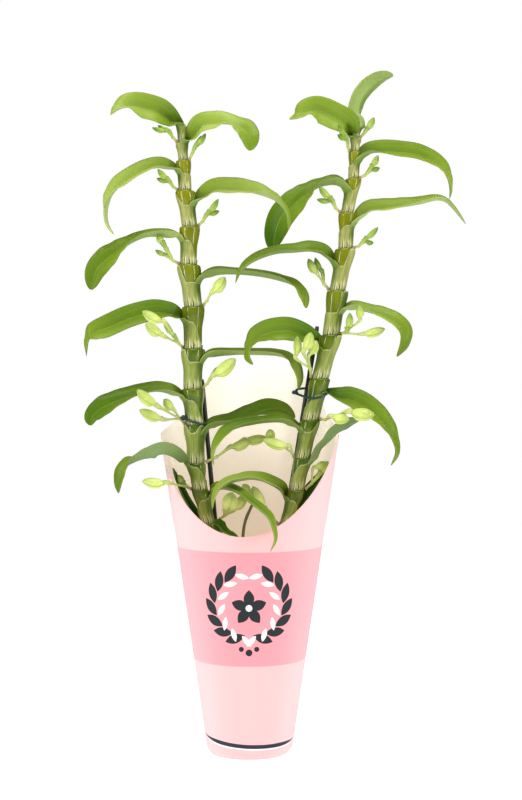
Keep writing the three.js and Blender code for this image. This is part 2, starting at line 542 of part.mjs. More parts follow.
place('sleeve', sleeveGeometry(), 'sleeve');
place('grow_pot', potGeometry(), 'pot');
place('growing_medium', barkGeometry(), 'bark');
place('cane_left', caneGeometry('left'), 'cane');
place('cane_right', rightCaneWithOldShoot(), 'cane');
for (const side of ['left', 'right']) {
  const numbered = (index) => String(index + 1).padStart(2, '0');
  LEAVES[side].forEach((_, i) => place(`leaf_${side}_${numbered(i)}`, leafGeometry(side, i), 'leaf'));
  BUDS[side].forEach((_, i) => place(`buds_${side}_${numbered(i)}`, sprayGeometry(side, i), 'bud'));
  place(`stake_${side}`, bar(...stakeEnds(side), STAKE.radius, STAKE.sides), 'stake');
  place(`tie_${side}`, tieGeometry(side), 'tie');
}

const orchid = new THREE.Group();
orchid.add(plant);

export default orchid;
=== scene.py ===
"""A potted dendrobium orchid in its paper sleeve: jointed canes, papery sheaths, strap leaves, closed buds.

Lengths in the tables are millimetres from the sleeve's axis at the table top; the front faces -Y. Points of
canes, leaves and buds are set out as they appear on the plane y = 0 to someone standing at EYE, then slid
along their sight line to the depth given with them.
"""
from math import cos, degrees, exp, pi, radians, sin, sqrt, tau

import bmesh
import bpy
from mathutils import Matrix, Vector, noise


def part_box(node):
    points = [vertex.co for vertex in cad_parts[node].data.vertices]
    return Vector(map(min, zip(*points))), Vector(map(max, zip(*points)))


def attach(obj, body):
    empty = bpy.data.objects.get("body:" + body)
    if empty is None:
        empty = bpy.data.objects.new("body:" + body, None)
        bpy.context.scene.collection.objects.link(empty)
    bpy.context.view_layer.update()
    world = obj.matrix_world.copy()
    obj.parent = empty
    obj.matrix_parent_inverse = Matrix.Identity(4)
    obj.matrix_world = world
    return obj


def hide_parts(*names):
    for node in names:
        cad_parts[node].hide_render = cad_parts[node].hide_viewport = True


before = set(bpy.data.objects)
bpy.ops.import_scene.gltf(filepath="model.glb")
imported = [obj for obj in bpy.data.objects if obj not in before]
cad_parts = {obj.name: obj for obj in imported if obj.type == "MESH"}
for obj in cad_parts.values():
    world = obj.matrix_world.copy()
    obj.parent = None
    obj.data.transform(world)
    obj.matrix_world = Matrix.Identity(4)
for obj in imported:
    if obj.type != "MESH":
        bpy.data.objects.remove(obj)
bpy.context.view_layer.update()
scene = bpy.context.scene

MM = 0.001
SEAM = 0.005  # corners nearer than this are one
EYE = Vector((10, -1218, 304))
SLEEVE_PLACE = Vector((-24.9, -1.2, 0))  # the sleeve's axis, from the middle of the plant's footprint

# The canes' nodes from the top down: x, z, radius of the length above, share of that length in its sheath.
CANE_TOP = {"left": (-59.5, 544, 2.6), "right": (93.5, 539.5, 2.2)}
CANE_NODES = {"left": [
    (-59, 528, 3.4, 0.9), (-57.5, 512, 4.4, 0.95), (-56, 486, 5.9, 0.57), (-52, 454.5, 7.3, 0.58),
    (-53, 421.5, 8, 0.63), (-49, 385, 8.7, 0.57), (-49, 348.5, 8.9, 0.64), (-49.5, 313.5, 8.9, 0.67),
    (-47.5, 282.5, 8.9, 0.69), (-46.5, 249, 8.4, 0.79), (-43, 226, 7.4, 0.88), (-36, 197, 6.9, 0.7),
    (-29, 171, 6.6, 0.7), (-22, 145, 6.4, 0.7), (-16, 120, 6.2, 0.7),
], "right": [
    (92.5, 532, 3, 0.9), (91.5, 520, 3.9, 0.95), (90.5, 496.5, 4.9, 0.55), (85, 466.5, 6, 0.62),
    (83.5, 435.5, 6.9, 0.64), (76.5, 399, 7.7, 0.57), (71, 360.5, 8.3, 0.5), (61.5, 322.5, 8.3, 0.66),
    (53, 286.5, 8.1, 0.61), (46, 253.5, 7.3, 0.69), (41, 225.5, 7, 0.81), (32, 195, 6.8, 0.72),
    (25, 168, 6.5, 0.7), (19, 142, 6.3, 0.7), (14, 118, 6.1, 0.7),
]}
CANE_FOOT = {"left": (-11, 44), "right": (11, 44)}
CANE_LEAN = {"left": -10, "right": 12}  # how far back the top leans
BARK_TOP = 82  # the canes lean from here up
CANE_WAIST, CANE_SWELL = 0.86, 0.25  # girth just above a node, and what it gains towards the next
CANE_SIDES, CANE_STEPS = 40, 10
NODE_GROOVE = [(0.95, 1.0), (0.982, 0.98), (0.997, 0.88)]  # share of the length, share of the girth
OLD_SHOOT = [(9, 4, 96), (1, 10, 120), (-5, 12, 150), (-6, 11, 178), (-4, 9, 197), (3, 8, 214)]
OLD_SHOOT_RINGS = 5

SHEATH_STEP = 0.7  # from the bare cane out to its sheath
SHEATH_INSIDE = 0.1
SHEATH_GRID = (72, 12)
# How far each sheath falls away on the side that its leaf isn't on, from the top node down.
FALL = {"left": [0, 0.05, 0.06, 0.04, 0.5, 0.2, 0.55, 0.1, 0.58, 0.24, 0.5, 0.3],
        "right": [0, 0.05, 0.1, 0.14, 0.16, 0.16, 0.4, 0.1, 0.3, 0.28, 0.4, 0.3]}
LOW_FALL = 0.25
# Where the front of a sheath opens on bare cane: from and to in degrees round from the front, and how softly.
WINDOW = {"left": {3: (-95, 95, 85), 5: (-52, 100, 30), 7: (-44, 72, 30), 9: (-52, 34, 36)},
          "right": {3: (-88, 88, 78), 5: (-100, 30, 26), 6: (-140, 38, 26), 7: (-80, 38, 26),
                    9: (-80, 70, 62)}}

FIRST_LEAF_SIDE = {"left": -1, "right": 1}
LEAF_SEAT = 0.45  # from the sheath out to the leaf's foot
LEAF_TUCK = 0.12  # and at the very edge of the foot
LEAF_RISE = (1.6, 5)  # outwards and up, from a leaf's foot to its next point
LEAF_THICKNESS = 0.9
LEAF_ROWS, LEAF_COLUMNS = 72, 20
FOLD = (50, 26, 12)  # degrees that each half stands up at foot, middle and tip
CLASP_SHARE = 0.14  # of a leaf's length, wrapped round its cane
# A paler front half and a deeper back half on each leaf are painted light and shade.
FRONT_PAINTED_LIGHT, BACK_PAINTED_SHADE = -0.03, 0.09  # on a leaf's two halves, in depth of green
# The greyer underside of this leaf is a painted sheen: the grey of a bright surround seen at a grazing angle.
GREY_SHEEN_LEAF = 10  # this one on either cane has a greyer underside
# Leaves from the top down, left and right in turn: width, depth of green from 0 to 1 at foot, middle and tip,
# then points from the cane outwards as x, depth, z, roll. Roll is 0 with the blade edge-on to the front and
# 90 with its upper side square to it.
# The depths of green also hold painted shade and sheen: deeper where a leaf lies in shade, paler where it
# shows a sheen.
LEAVES = {"left": [
    (25, (0.48, 0.3, 0.22), [(-78, -9, 555, 78), (-91, -14, 559, 82), (-104, -20, 561, 62),
     (-114, -26, 558, 30), (-121, -30, 552, 10)]),
    (24, (0.3, 0.2, 0.44), [(-43, -8, 543, 60), (-30, -12, 546, 55), (-15, -17, 546, 30), (-4, -22, 540, 58),
     (0, -26, 532, 78), (0, -28, 521, 70)]),
    (23, (0.26, 0.2, 0.1), [(-79, -4, 509, 38), (-95, -7, 504, 42), (-111, -10, 494, 45),
     (-121, -12, 484, 28), (-125, -14, 471, 8), (-124, -15, 458, 8), (-118, -16, 448, 8)]),
    (24, (0.27, 0.2, 0.34), [(-32, -2, 488, 48), (-15, -8, 489, 48), (1, -14, 487, 40), (16, -20, 483, 20),
     (26, -24, 477, 10), (33, -27, 466, 12), (34, -28, 452, 14)]),
    (24, (0.28, 0.4, 0.54), [(-70, -4, 449, 12), (-88, -6, 449, 14), (-102, -8, 444, 22),
     (-114, -10, 436, 42), (-125, -13, 427, 70), (-134, -16, 416, 85), (-138, -18, 400, 80)]),
    (23, (0.36, 0.44, 0.36), [(-30, 4, 416, 15), (-10, 6, 416, 12), (10, 8, 414, 11), (27, 9, 410, 12),
     (40, 9, 404, 25), (47, 8, 394, 40), (49, 7, 384, 38)]),
    (24, (0.52, 0.48, 0.36), [(-70, -6, 381, 50), (-85, -10, 381, 62), (-104, -14, 376, 66),
     (-125, -18, 367, 68), (-135, -20, 363, 60), (-141, -20, 356, 22), (-142, -19, 342, 8)]),
    (22, (0.35, 0.3, 0.26), [(-31, 4, 345, 12), (-15, 7, 346, 9), (4, 9, 346, 9), (23, 10, 345, 11),
     (34, 10, 341, 20), (40, 9, 333, 32), (43, 8, 323, 30), (42, 7, 313, 24)]),
    (24, (0.32, 0.52, 0.64), [(-70, -5, 313, 18), (-83, -8, 314, 24), (-100, -12, 310, 30),
     (-116, -16, 304, 42), (-128, -19, 298, 62), (-137, -22, 290, 75), (-139, -23, 282, 75)]),
    (24, (0.42, 0.54, 0.4), [(-30, 3, 284, 20), (-14, 11, 288, 20), (2, 18, 293, 34), (16, 22, 297, 46),
     (27, 22, 296, 44), (34, 19, 292, 38), (39, 16, 288, 25)]),
    (22, (0.42, 0.32, 0.52), [(-64, -14, 256, -26), (-76, -34, 259, -44), (-89, -39, 256, -30),
     (-99, -40, 253, -8), (-107, -39, 248, 28), (-112, -38, 240, 40), (-114, -37, 231, 38),
     (-114, -36, 223, 30)]),
    (17, (0.32, 0.44, 0.34), [(-29, -8, 228, 16), (-19, -20, 228, 14), (-9, -33, 224, 15), (0, -46, 217, 17),
     (9, -58, 210, 17), (17, -68, 202, 17), (21, -76, 191, 17), (22, -78, 182, 16), (18, -77, 172, 14)]),
    # This leaf and the next lie low inside the sleeve; their deep green is painted shade.
    (16, (0.95, 0.9, 0.7), [(-47, 5, 204, 20), (-56, 6, 219, 18), (-63, 7, 234, 15), (-67, 8, 245, 12)]),
    (13, (0.75, 0.75, 0.75), [(-27, -22, 194, 20), (-20, -34, 189, 20), (-12, -42, 184, 15),
     (-5, -44, 176, 15)]),
], "right": [
    (22, (0.28, 0.32, 0.34), [(93, 4, 553, -38), (96, 8, 565, -42), (102, 12, 574, -40), (110, 16, 581, -36),
     (118, 19, 585, -30), (125, 21, 586, -20)]),
    (26, (0.42, 0.34, 0.3), [(85, -13, 544, 75), (73, -15, 551, 88), (61, -16, 556, 88), (51, -20, 556, 66),
     (44, -23, 551, 30), (35, -26, 548, 18)]),
    (24, (0.36, 0.4, 0.28), [(104, 4, 521, 42), (115, 7, 522, 47), (130, 11, 521, 50), (145, 14, 519, 50),
     (158, 17, 514, 46), (167, 19, 508, 38), (173, 20, 498, 25), (175, 21, 488, 12), (174, 21, 479, 10)]),
    (26, (0.35, 0.45, 0.72), [(75, 3, 495, 20), (65, 3, 494, 14), (56, 3, 490, 24), (47, 2, 483, 48),
     (37, 1, 474, 75), (28, 0, 464, 88), (23, -1, 452, 88), (21, -2, 442, 80), (21, -3, 434, 70)]),
    (23, (0.22, 0.28, 0.28), [(103, 3, 470, 42), (116, 5, 472, 40), (131, 7, 474, 32), (148, 9, 477, 21),
     (162, 11, 480, 16), (171, 12, 478, 14), (178, 13, 471, 13), (184, 14, 463, 12), (188, 14, 457, 12)]),
    (23, (0.44, 0.4, 0.4), [(65, -3, 433, 34), (54, -6, 436, 32), (40, -10, 435, 25), (24, -18, 434, 20),
     (11, -23, 430, 22), (0, -28, 424, 20), (-8, -32, 416, 10), (-12, -34, 406, 9)]),
    (22, (0.24, 0.3, 0.5), [(92, -2, 386, 18), (103, -4, 383, 24), (115, -7, 379, 34), (127, -10, 373, 42),
     (134, -12, 365, 46), (134, -14, 354, 36), (128, -15, 342, 25)]),
    (25, (0.66, 0.42, 0.38), [(56, -5, 356, 44), (46, -8, 361.5, 56), (33, -11, 365, 66), (20, -14, 364, 64),
     (9, -18, 360, 52), (2, -20, 353, 26), (-1, -21, 347, 12), (-1, -22, 341, 22), (3, -23, 335, 20)]),
    (24, (0.56, 0.4, 0.44), [(77, -4, 308, 45), (87, -7, 306, 55), (98, -10, 301, 58), (109, -13, 293, 50),
     (119, -15, 282, 38), (126, -17, 269, 22), (128, -18, 258, 16), (123, -19, 247, 12)]),
    (22, (0.4, 0.56, 0.28), [(31, -8, 287, 11), (16, -13, 287, 10), (2, -15, 285, 11), (-11, -16, 282, 18),
     (-21, -18, 276, 28), (-28, -19, 267, 24), (-32, -20, 257, 10), (-31, -20, 247, 8)]),
    (20, (0.25, 0.45, 0.5), [(60, -8, 262, -2), (68, -15, 270, -10), (76, -20, 277, -30),
     (85, -21, 283, -38), (97, -19, 287, -26)]),
    (21, (0.44, 0.22, 0.3), [(27, -6, 228, 24), (16, -11, 234, 22), (4, -16, 237, 15), (-8, -24, 236, 11),
     (-19, -32, 233, 10), (-27, -39, 227, 12), (-31, -43, 218, 15), (-32, -44, 209, 13)]),
    # This leaf lies low inside the sleeve; its deep green is painted shade.
    (17, (0.95, 0.85, 0.6), [(45, 5, 213, 38), (53, 6, 225, 42), (60, 7, 235, 40), (65, 8, 244, 30)]),
]}

SMALL_BUD = 3.3  # radius up to which a bud still sits in its bracts
BRACT_TONE = 0.4
BUD_GRID = (24, 20)
# Bud sprays, one to a node like the leaves: base and tip of each bud as x, depth, z, then its radius.
BUDS = {"left": [
    [((-72, -14, 538), (-85, -17, 541), 2.2), ((-71, -10, 539), (-80, -10, 543), 1.8)],
    [((-46.5, -10, 525), (-38, -12, 536), 2.5), ((-47.5, -5, 525), (-42, -3, 534), 1.8)],
    [((-71, -12, 496), (-80, -14, 505), 2.6), ((-71, -9, 494), (-81, -10, 497), 2.2)],
    [((-36, -12, 467), (-27, -15, 479), 2.6), ((-36, -9, 466), (-26, -10, 468.5), 2.4)],
    [((-75, -9, 440), (-80, -10, 448), 3.1), ((-73, -6, 430), (-82, -7, 434.5), 2.2)],
    [((-33, -12, 397), (-21, -14, 411), 5)],
    [((-75, -30, 372), (-93.5, -34, 381.5), 4.3), ((-75, -18, 360), (-90.5, -22, 371), 4.6),
     ((-65, -15, 359), (-75, -21, 375), 2.6)],
    [((-32, -10, 325), (-12, -14, 340), 5.8), ((-29, -1, 329), (-15, 2, 338), 3.2)],
    [((-80, -24, 299), (-98, -30, 313), 4.8), ((-75, -16, 287.5), (-96, -20, 295.5), 4.5),
     ((-65.5, -10, 295), (-74.5, -12, 305), 4)],
    [((-17, 0, 263), (1, -1, 268), 4.6), ((-5, 9, 269), (15, 8, 271.5), 4.4)],
    [((-72, -46, 232), (-93.5, -50, 233.5), 4.4), ((-57, 6, 231), (-62, 6, 239), 3.2)],
    [((-21, -12, 206), (-15, -14, 224), 6.8), ((-14.5, -4, 208), (-3, -2, 222), 4.6)],
], "right": [
    [((101.5, -5, 539), (108.5, -8, 550), 3)],
    [((84, -20, 533), (77.5, -24, 544), 2.4), ((84, -18, 530.5), (76.5, -23, 535), 2.2)],
    [((106, -8, 507), (112, -10, 517), 2.8), ((106.5, -5, 504), (113.5, -6, 506), 2.3)],
    [((71, -9, 479), (60.5, -11, 490), 3), ((70, -6, 477), (58.5, -7, 478.5), 2.4)],
    [((100.5, -6, 444), (112, -8, 454.5), 2.6), ((101.5, -3, 441.5), (108, -3, 440.5), 2.3)],
    [((59.5, 3, 413), (51, 4, 427), 3.6), ((63, 5, 415.5), (57, 8, 428), 2.6)],
    [((95.5, -17, 374), (96, -19, 387), 3.6), ((85, -14, 365), (87.5, -15, 380), 3.2),
     ((98, -8, 361.5), (118, -10, 366), 4)],
    [((40.5, -20, 341.5), (41.5, -22, 360), 3.6), ((47.5, -24, 346.5), (53.5, -27, 363), 4.6),
     ((52, -18, 343), (58.5, -19, 356), 4.3)],
    [((71, -30, 290), (87, -35, 287), 4.6), ((87, -35, 294), (109, -39, 291), 5.6)],
    [((34.5, -12, 264), (11.5, -17, 270), 4.6), ((19, -2, 272), (17.5, -13, 277), 4.2)],
    [((56.5, -2, 245), (67, -3, 250), 3.4), ((61, 2, 240), (68.5, 3, 251), 3.2)],
    [((14, -10, 209), (2.5, -12, 229), 5.4), ((1, -3, 223), (-6, -3, 231), 3.8)],
]}

# Foot and top of each stake, as x, depth, z.
STAKES = {"left": ((-16, 9.3, 52), (-41.5, 8.2, 322)), "right": ((7.5, 9.5, 52), (59, 11.5, 368))}
STAKE_RADIUS = 2.1
TIE_RADIUS = 1.05
TIE_SWEEP = 382  # degrees round cane and stake
TIE_CLEARANCE = 0.85
# Each tie: height, slopes to the right and to the back, degrees where its wire starts, slack past the stake.
TIES = {"left": (284.5, -0.32, 0, 205, 0), "right": (309.5, 0.16, 0.4, 185, -5)}

SLEEVE_TURN = 5  # degrees from the print's middle round to the lowest point of the rim
SLEEVE_RADIUS, SLEEVE_FLARE = 36.8, 0.15  # at the table, and what it gains a millimetre up
SLEEVE_FRONT_RIM, SLEEVE_SIDE_RIM = 191, 275
SLEEVE_BACK_RIM = [(90, 275), (110, 281), (126, 291), (131, 300), (144, 318), (155, 334), (180, 334)]
SLEEVE_WALL = 0.7
SLEEVE_CREASE = 0.5
FOOT_LIFT, FOOT_FLAT = 3.5, 50  # at the side folds, and the degrees round from the front where it starts
SLEEVE_COLUMNS = 216

# The print, in millimetres up the sleeve and round it from the middle of the front.
BAND = (81, 178)
FOOT_LINE, WHITE_LINE = 11.5, 9.2
LINE_REACH, LINE_BOW, LINE_TILT = 57, 3.3, 2.3
WREATH_MIDDLE, WREATH_RADIUS, WREATH_BEARINGS = (0, 130), 29, range(-76, 69, 24)
# Each ring of the wreath's leaves: outwards and up from its circle, turn from its run, length, width.
OUTER_LEAVES, INNER_LEAVES = (5, 3, -34, 18, 8), (-5, 1, 36, 12, 4.4)
FLOWER_MIDDLE, FLOWER_HEART = (0, 131), 2.8
PETAL_BEARINGS = (90, 162, 234, 306, 18)
PETAL_OUT, PETAL_LENGTH, PETAL_WIDTH = 8, 15, 9
BERRIES = [((-6.5, 96), 2.2), ((6.5, 96), 2.2), ((0, 93), 2.9)]

CHIPS, CHIP_SPREAD, CHIP_SINK = 150, 40, 2.6
CANE_HOLES, HOLE_CLEARANCE = (-13, 13), 11
GOLDEN_TURN = 2.39996  # radians from one chip to the next

# Softboxes: place, width and height in metres, watts, and whether gloss shows them.
SOFTBOXES = {"left softbox": ((-1.15, -0.8, 0.5), (0.1, 1.2), 8, True),
             "right softbox": ((1.15, -0.8, 0.5), (0.08, 1.2), 6.5, True),
             "front softbox": ((0.1, -1.9, 0.75), (1.6, 1.0), 3, False),
             "top softbox": ((0, -0.35, 1.5), (1.0, 0.8), 12, True)}
SOFTBOX_AIM = Vector((0, 0, 0.3))


# ---- shapes ----

def lerp(a, b, share):
    return a + (b - a) * share


def clamp(x, low=0.0, high=1.0):
    return max(low, min(high, x))


def ease(x, low=0.0, high=1.0):
    x = clamp((x - low) / (high - low))
    return x * x * (3 - 2 * x)


def swell(x, middle, spread):
    """A smooth hump, 1 at its middle."""
    return exp(-(((x - middle) / spread) ** 2))


def spoke(angle):
    return Vector((cos(angle), sin(angle), 0))


def square_to(direction, axis):
    return (direction - axis * direction.dot(axis)).normalized()


def value_at(rule, *where):
    return rule(*where) if callable(rule) else rule


def set_out(x, depth, z):
    reach = (depth - EYE.y) / -EYE.y
    return Vector((lerp(EYE.x, x, reach), depth, lerp(EYE.z, z, reach)))


class Path:
    """A smooth curve through points, walked by its length."""

    STEPS = 200

    def __init__(self, points):
        points = [Vector(p) for p in points]
        self.points = [points[0] * 2 - points[1], *points, points[-1] * 2 - points[-2]]
        self.spans = len(points) - 1
        spots = [self.spot(i / self.STEPS) for i in range(self.STEPS + 1)]
        self.marks = [0.0]
        for a, b in zip(spots, spots[1:]):
            self.marks.append(self.marks[-1] + (b - a).length)

    def _span(self, t):
        t = clamp(t) * self.spans
        i = min(int(t), self.spans - 1)
        a, b, c, d = self.points[i:i + 4]
        return t - i, b, c, (c - a) * 0.5, (d - b) * 0.5

    def spot(self, t):
        w, b, c, m, n = self._span(t)
        return (b * (2 * w**3 - 3 * w**2 + 1) + c * (3 * w**2 - 2 * w**3)
                + m * (w**3 - 2 * w**2 + w) + n * (w**3 - w**2))

    def heading(self, t):
        w, b, c, m, n = self._span(t)
        slope = (b - c) * (6 * w**2 - 6 * w) + m * (3 * w**2 - 4 * w + 1) + n * (3 * w**2 - 2 * w)
        return slope.normalized()

    def at_share(self, share):
        """The curve's own parameter at a share of its length."""
        goal = clamp(share) * self.marks[-1]
        for i, (start, end) in enumerate(zip(self.marks, self.marks[1:])):
            if end >= goal:
                return (i + (goal - start) / max(1e-9, end - start)) / self.STEPS
        return 1.0


def new_shape(*measures):
    """An empty mesh that carries a UV map and a few named numbers a corner."""
    shape = bmesh.new()
    shape.loops.layers.uv.new("UVMap")
    for measure in measures:
        shape.verts.layers.float.new(measure)
    return shape


def skin(shape, columns, rows, place, finish=0, flip=False, **measures):
    """A grid bent to shape: place(u, v) puts each corner, with u and v from 0 to 1."""
    made = bmesh.ops.create_grid(shape, x_segments=columns, y_segments=rows, size=0.5)["verts"]
    faces = {face for corner in made for face in corner.link_faces}
    uv_map = shape.loops.layers.uv.active
    for face in faces:
        face.material_index = finish
        face.smooth = True
        for loop in face.loops:
            loop[uv_map].uv = (loop.vert.co.x + 0.5, loop.vert.co.y + 0.5)
    layers = {name: shape.verts.layers.float[name] for name in measures}
    for corner in made:
        u, v = corner.co.x + 0.5, corner.co.y + 0.5
        for name, measure in measures.items():
            corner[layers[name]] = value_at(measure, u, v)
        corner.co = place(u, v)
    if flip:
        bmesh.ops.reverse_faces(shape, faces=list(faces))


def tube(shape, path, sides, rows, radius, finish=0, **measures):
    """A closed round bar along a path. Its radius, like any measure, is a number or a rule of the place."""
    shares = [0, 0, *(i / (rows - 2) for i in range(1, rows - 2)), 1, 1]
    side = path.heading(0).orthogonal()
    rings = []
    for share in shares:
        t = path.at_share(share)
        along = path.heading(t)
        side = square_to(side, along)
        rings.append((path.spot(t), side, along.cross(side), value_at(radius, share)))

    def place(u, v):
        row = round(v * rows)
        spot, a, b, girth = rings[row]
        r = 0.0 if row in (0, rows) else girth
        return spot + (a * cos(u * tau) + b * sin(u * tau)) * r

    skin(shape, sides, rows, place, finish, **measures)


def add_object(name, data):
    made = bpy.data.objects.new(name, data)
    scene.collection.objects.link(made)
    return made


def add_mesh(name, shape, materials):
    mesh = bpy.data.meshes.new(name)
    shape.to_mesh(mesh)
    shape.free()
    for material in materials:
        mesh.materials.append(material)
    return add_object(name, mesh)


def finish_piece(name, shape, materials, slot, *nodes):
    """Closes the seams, sets the shape in its place and hands it over as one piece."""
    bmesh.ops.remove_doubles(shape, verts=shape.verts, dist=SEAM)
    bmesh.ops.translate(shape, verts=shape.verts, vec=SLEEVE_PLACE)
    bmesh.ops.scale(shape, verts=shape.verts, vec=(MM, MM, MM))
    piece = add_mesh(name, shape, materials)
    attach(piece, "root")
    if nodes:
        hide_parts(*nodes)


# ---- material workshop ----

def rgb(red, green, blue):
    """A colour given as on a paint card, 0 to 255 a channel."""
    channels = [c / 255 for c in (red, green, blue)]
    return (*[c / 12.92 if c <= 0.04045 else ((c + 0.055) / 1.055) ** 2.4 for c in channels], 1)


def is_wire(value):
    return isinstance(value, bpy.types.NodeSocket)


def feed(socket, value):
    """Wires a socket to what another node puts out, or sets it to a plain value."""
    if is_wire(value):
        value.id_data.links.new(value, socket)
    else:
        socket.default_value = value


def add_node(tree, kind, **settings):
    made = tree.nodes.new("ShaderNode" + kind)
    for name, value in settings.items():
        setattr(made, name, value)
    return made


def node(kind, inputs, **settings):
    """A node fed by others, in the tree that they are in."""
    tree = next(value.id_data for value in inputs.values() if is_wire(value))
    made = add_node(tree, kind, **settings)
    for name, value in inputs.items():
        feed(made.inputs[name], value)
    return made.outputs


def calc(operation, *values):
    return node("Math", dict(enumerate(values)), operation=operation)[0]


def times(a, b):
    return calc("MULTIPLY", a, b)


def plus(a, b):
    return calc("ADD", a, b)


def minus(a, b):
    return calc("SUBTRACT", a, b)


def size_of(a):
    return calc("ABSOLUTE", a)


def ramp(value, low, high, start=0.0, end=1.0):
    """A soft step: start where the value is low, end where it is high."""
    limits = {"From Min": low, "From Max": high, "To Min": start, "To Max": end}
    return node("MapRange", {"Value": value, **limits}, interpolation_type="SMOOTHSTEP")[0]


def mix(share, first, second):
    return node("Mix", {0: share, 6: first, 7: second}, data_type="RGBA")[2]


def layered(colour, *layers):
    """A colour with others laid over it in turn, each by how much it shows."""
    for share, over in layers:
        colour = mix(share, colour, over)
    return colour


def speckle(vector, scale, detail, roughness=0.5):
    sizes = {"Vector": vector, "Scale": scale, "Detail": detail, "Roughness": roughness}
    return node("TexNoise", sizes)[0]


def object_place(tree):
    return add_node(tree, "TexCoord").outputs["Object"]


def parts_of(vector):
    return node("SeparateXYZ", {0: vector})


def height_of(tree):
    """Metres above the table."""
    return parts_of(object_place(tree))[2]


def uv_of(tree):
    return parts_of(add_node(tree, "UVMap", uv_map="UVMap").outputs[0])


def measure_of(tree, name):
    return add_node(tree, "Attribute", attribute_name=name).outputs["Fac"]


def group(name, given, out):
    """A shared effect's own tree, with the names and kinds of what it is given and what it puts out."""
    tree = bpy.data.node_groups.new(name, "ShaderNodeTree")
    for way, sockets in (("INPUT", given), ("OUTPUT", out)):
        for label, kind in sockets.items():
            tree.interface.new_socket(label, in_out=way, socket_type="NodeSocket" + kind)
    return tree, tree.nodes.new("NodeGroupInput").outputs, tree.nodes.new("NodeGroupOutput").inputs


def use(tree, effect, *values):
    placed = tree.nodes.new("ShaderNodeGroup")
    placed.node_tree = effect
    for socket, value in zip(placed.inputs, values):
        feed(socket, value)
    return placed.outputs


def growth_lines():
    """Fine lines that run the way the plant grew, read from the piece's own UV map."""
    tree, given, out = group("growth lines", {"U Rate": "Float", "V Rate": "Float"},
                             {"Lines": "Float", "Streaks": "Float"})
    uv = uv_of(tree)
    fine = node("CombineXYZ", {0: times(uv[0], given["U Rate"]), 1: times(uv[1], given["V Rate"])})[0]
    coarse = node("Mapping", {"Vector": fine, "Scale": (0.6, 0.2, 1)})[0]
    feed(out["Lines"], speckle(fine, 1, 2, 0.6))
    feed(out["Streaks"], speckle(coarse, 1, 1))
    return tree


def living_colour():
    """Uneven pigment of a living surface: a colour drifts a little to a second one in soft patches."""
    wanted = {"Colour": "Color", "Drift": "Color", "Patch Size": "Float", "Amount": "Float"}
    tree, given, out = group("living colour", wanted, {"Colour": "Color", "Patches": "Float"})
    patches = ramp(speckle(object_place(tree), given["Patch Size"], 3), 0.35, 0.7)
    feed(out["Colour"], mix(times(patches, given["Amount"]), given["Colour"], given["Drift"]))
    feed(out["Patches"], patches)
    return tree


GROWTH_LINES = growth_lines()
LIVING_COLOUR = living_colour()


def grown(tree, u_rate, v_rate):
    return use(tree, GROWTH_LINES, u_rate, v_rate)


def living(tree, colour, drift, patch_size, amount):
    return use(tree, LIVING_COLOUR, colour, drift, patch_size, amount)


def new_material(name, roughness, specular=0.5, **constants):
    material = bpy.data.materials.new(name)
    material.use_nodes = True
    tree = material.node_tree
    shader = tree.nodes["Principled BSDF"].inputs
    shader["Roughness"].default_value = roughness
    shader["Specular IOR Level"].default_value = specular
    for label, value in constants.items():
        shader[label.replace("_", " ")].default_value = value
    return material, tree, shader


def relief(shader, height, depth, strength=0.5):
    feed(shader["Normal"], node("Bump", {"Height": height, "Distance": depth, "Strength": strength})[0])


def leaf_material(name, roughness, pale, deep, drift, rib, margin):
    """One side of a leaf: pale to deep green by its tone, with veins, rib, thin margin and pale foot, a
    whitish painted sheen on pale young leaves and painted shade near the clasping foot.
    """
    material, tree, shader = new_material(name, roughness, 0.14)
    along, across, _ = uv_of(tree)
    off_rib = size_of(minus(across, 0.5))
    tone = measure_of(tree, "tone")
    young = minus(1, tone)
    ripe = minus(1, times(young, young))
    fresh = mix(ripe, drift, rgb(62, 110, 0))
    green = living(tree, mix(ripe, pale, deep), fresh, 42, 0.35)["Colour"]
    lines = grown(tree, 1.1, 11)
    veins = times(ramp(lines["Lines"], 0.35, 0.7), ramp(along, 0.6, 0.92, 1, 0))
    pale_foot = mix(ramp(along, 0.06, 0.22), rgb(214, 222, 160), margin)
    # The whitish veil where the tone is low is a painted sheen. The darker green near the foot is painted
    # shade where the blade wraps its cane.
    feed(shader["Base Color"], layered(
        green, (ramp(tone, 0.4, 0.06, 0, 0.3), rgb(210, 222, 168)), (times(veins, 0.6), fresh),
        (ramp(off_rib, 0.004, 0.024, 0.4, 0), rib), (ramp(along, 0, 0.16, 0.65, 0), rgb(88, 122, 20)),
        (ramp(off_rib, 0.47, 0.494, 0, 0.5), pale_foot)))
    feed(shader["Roughness"], ramp(lines["Streaks"], 0.3, 0.7, roughness - 0.07, roughness + 0.07))
    relief(shader, plus(times(veins, 0.16), ramp(off_rib, 0, 0.03)), 0.0004, 0.6)
    return material


def cane_material():
    """Glossy bare cane, greener low down, streaked along its length and browned at each node."""
    material, tree, shader = new_material("bare cane", 0.35, 0.1, Coat_Weight=0.85, Coat_Roughness=0.05)
    low_to_high = mix(ramp(height_of(tree), 0.32, 0.5), rgb(64, 92, 0), rgb(134, 134, 0))
    skin_tone = living(tree, low_to_high, rgb(148, 156, 26), 90, 0.4)["Colour"]
    lines = grown(tree, 22, 9)["Lines"]
    feed(shader["Base Color"], layered(
        skin_tone, (ramp(lines, 0.35, 0.7, 0, 0.4), rgb(56, 84, 0)),
        (ramp(measure_of(tree, "rise"), 0.97, 0.995, 0, 0.3), rgb(120, 108, 40))))
    relief(shader, lines, 0.0003)
    return material


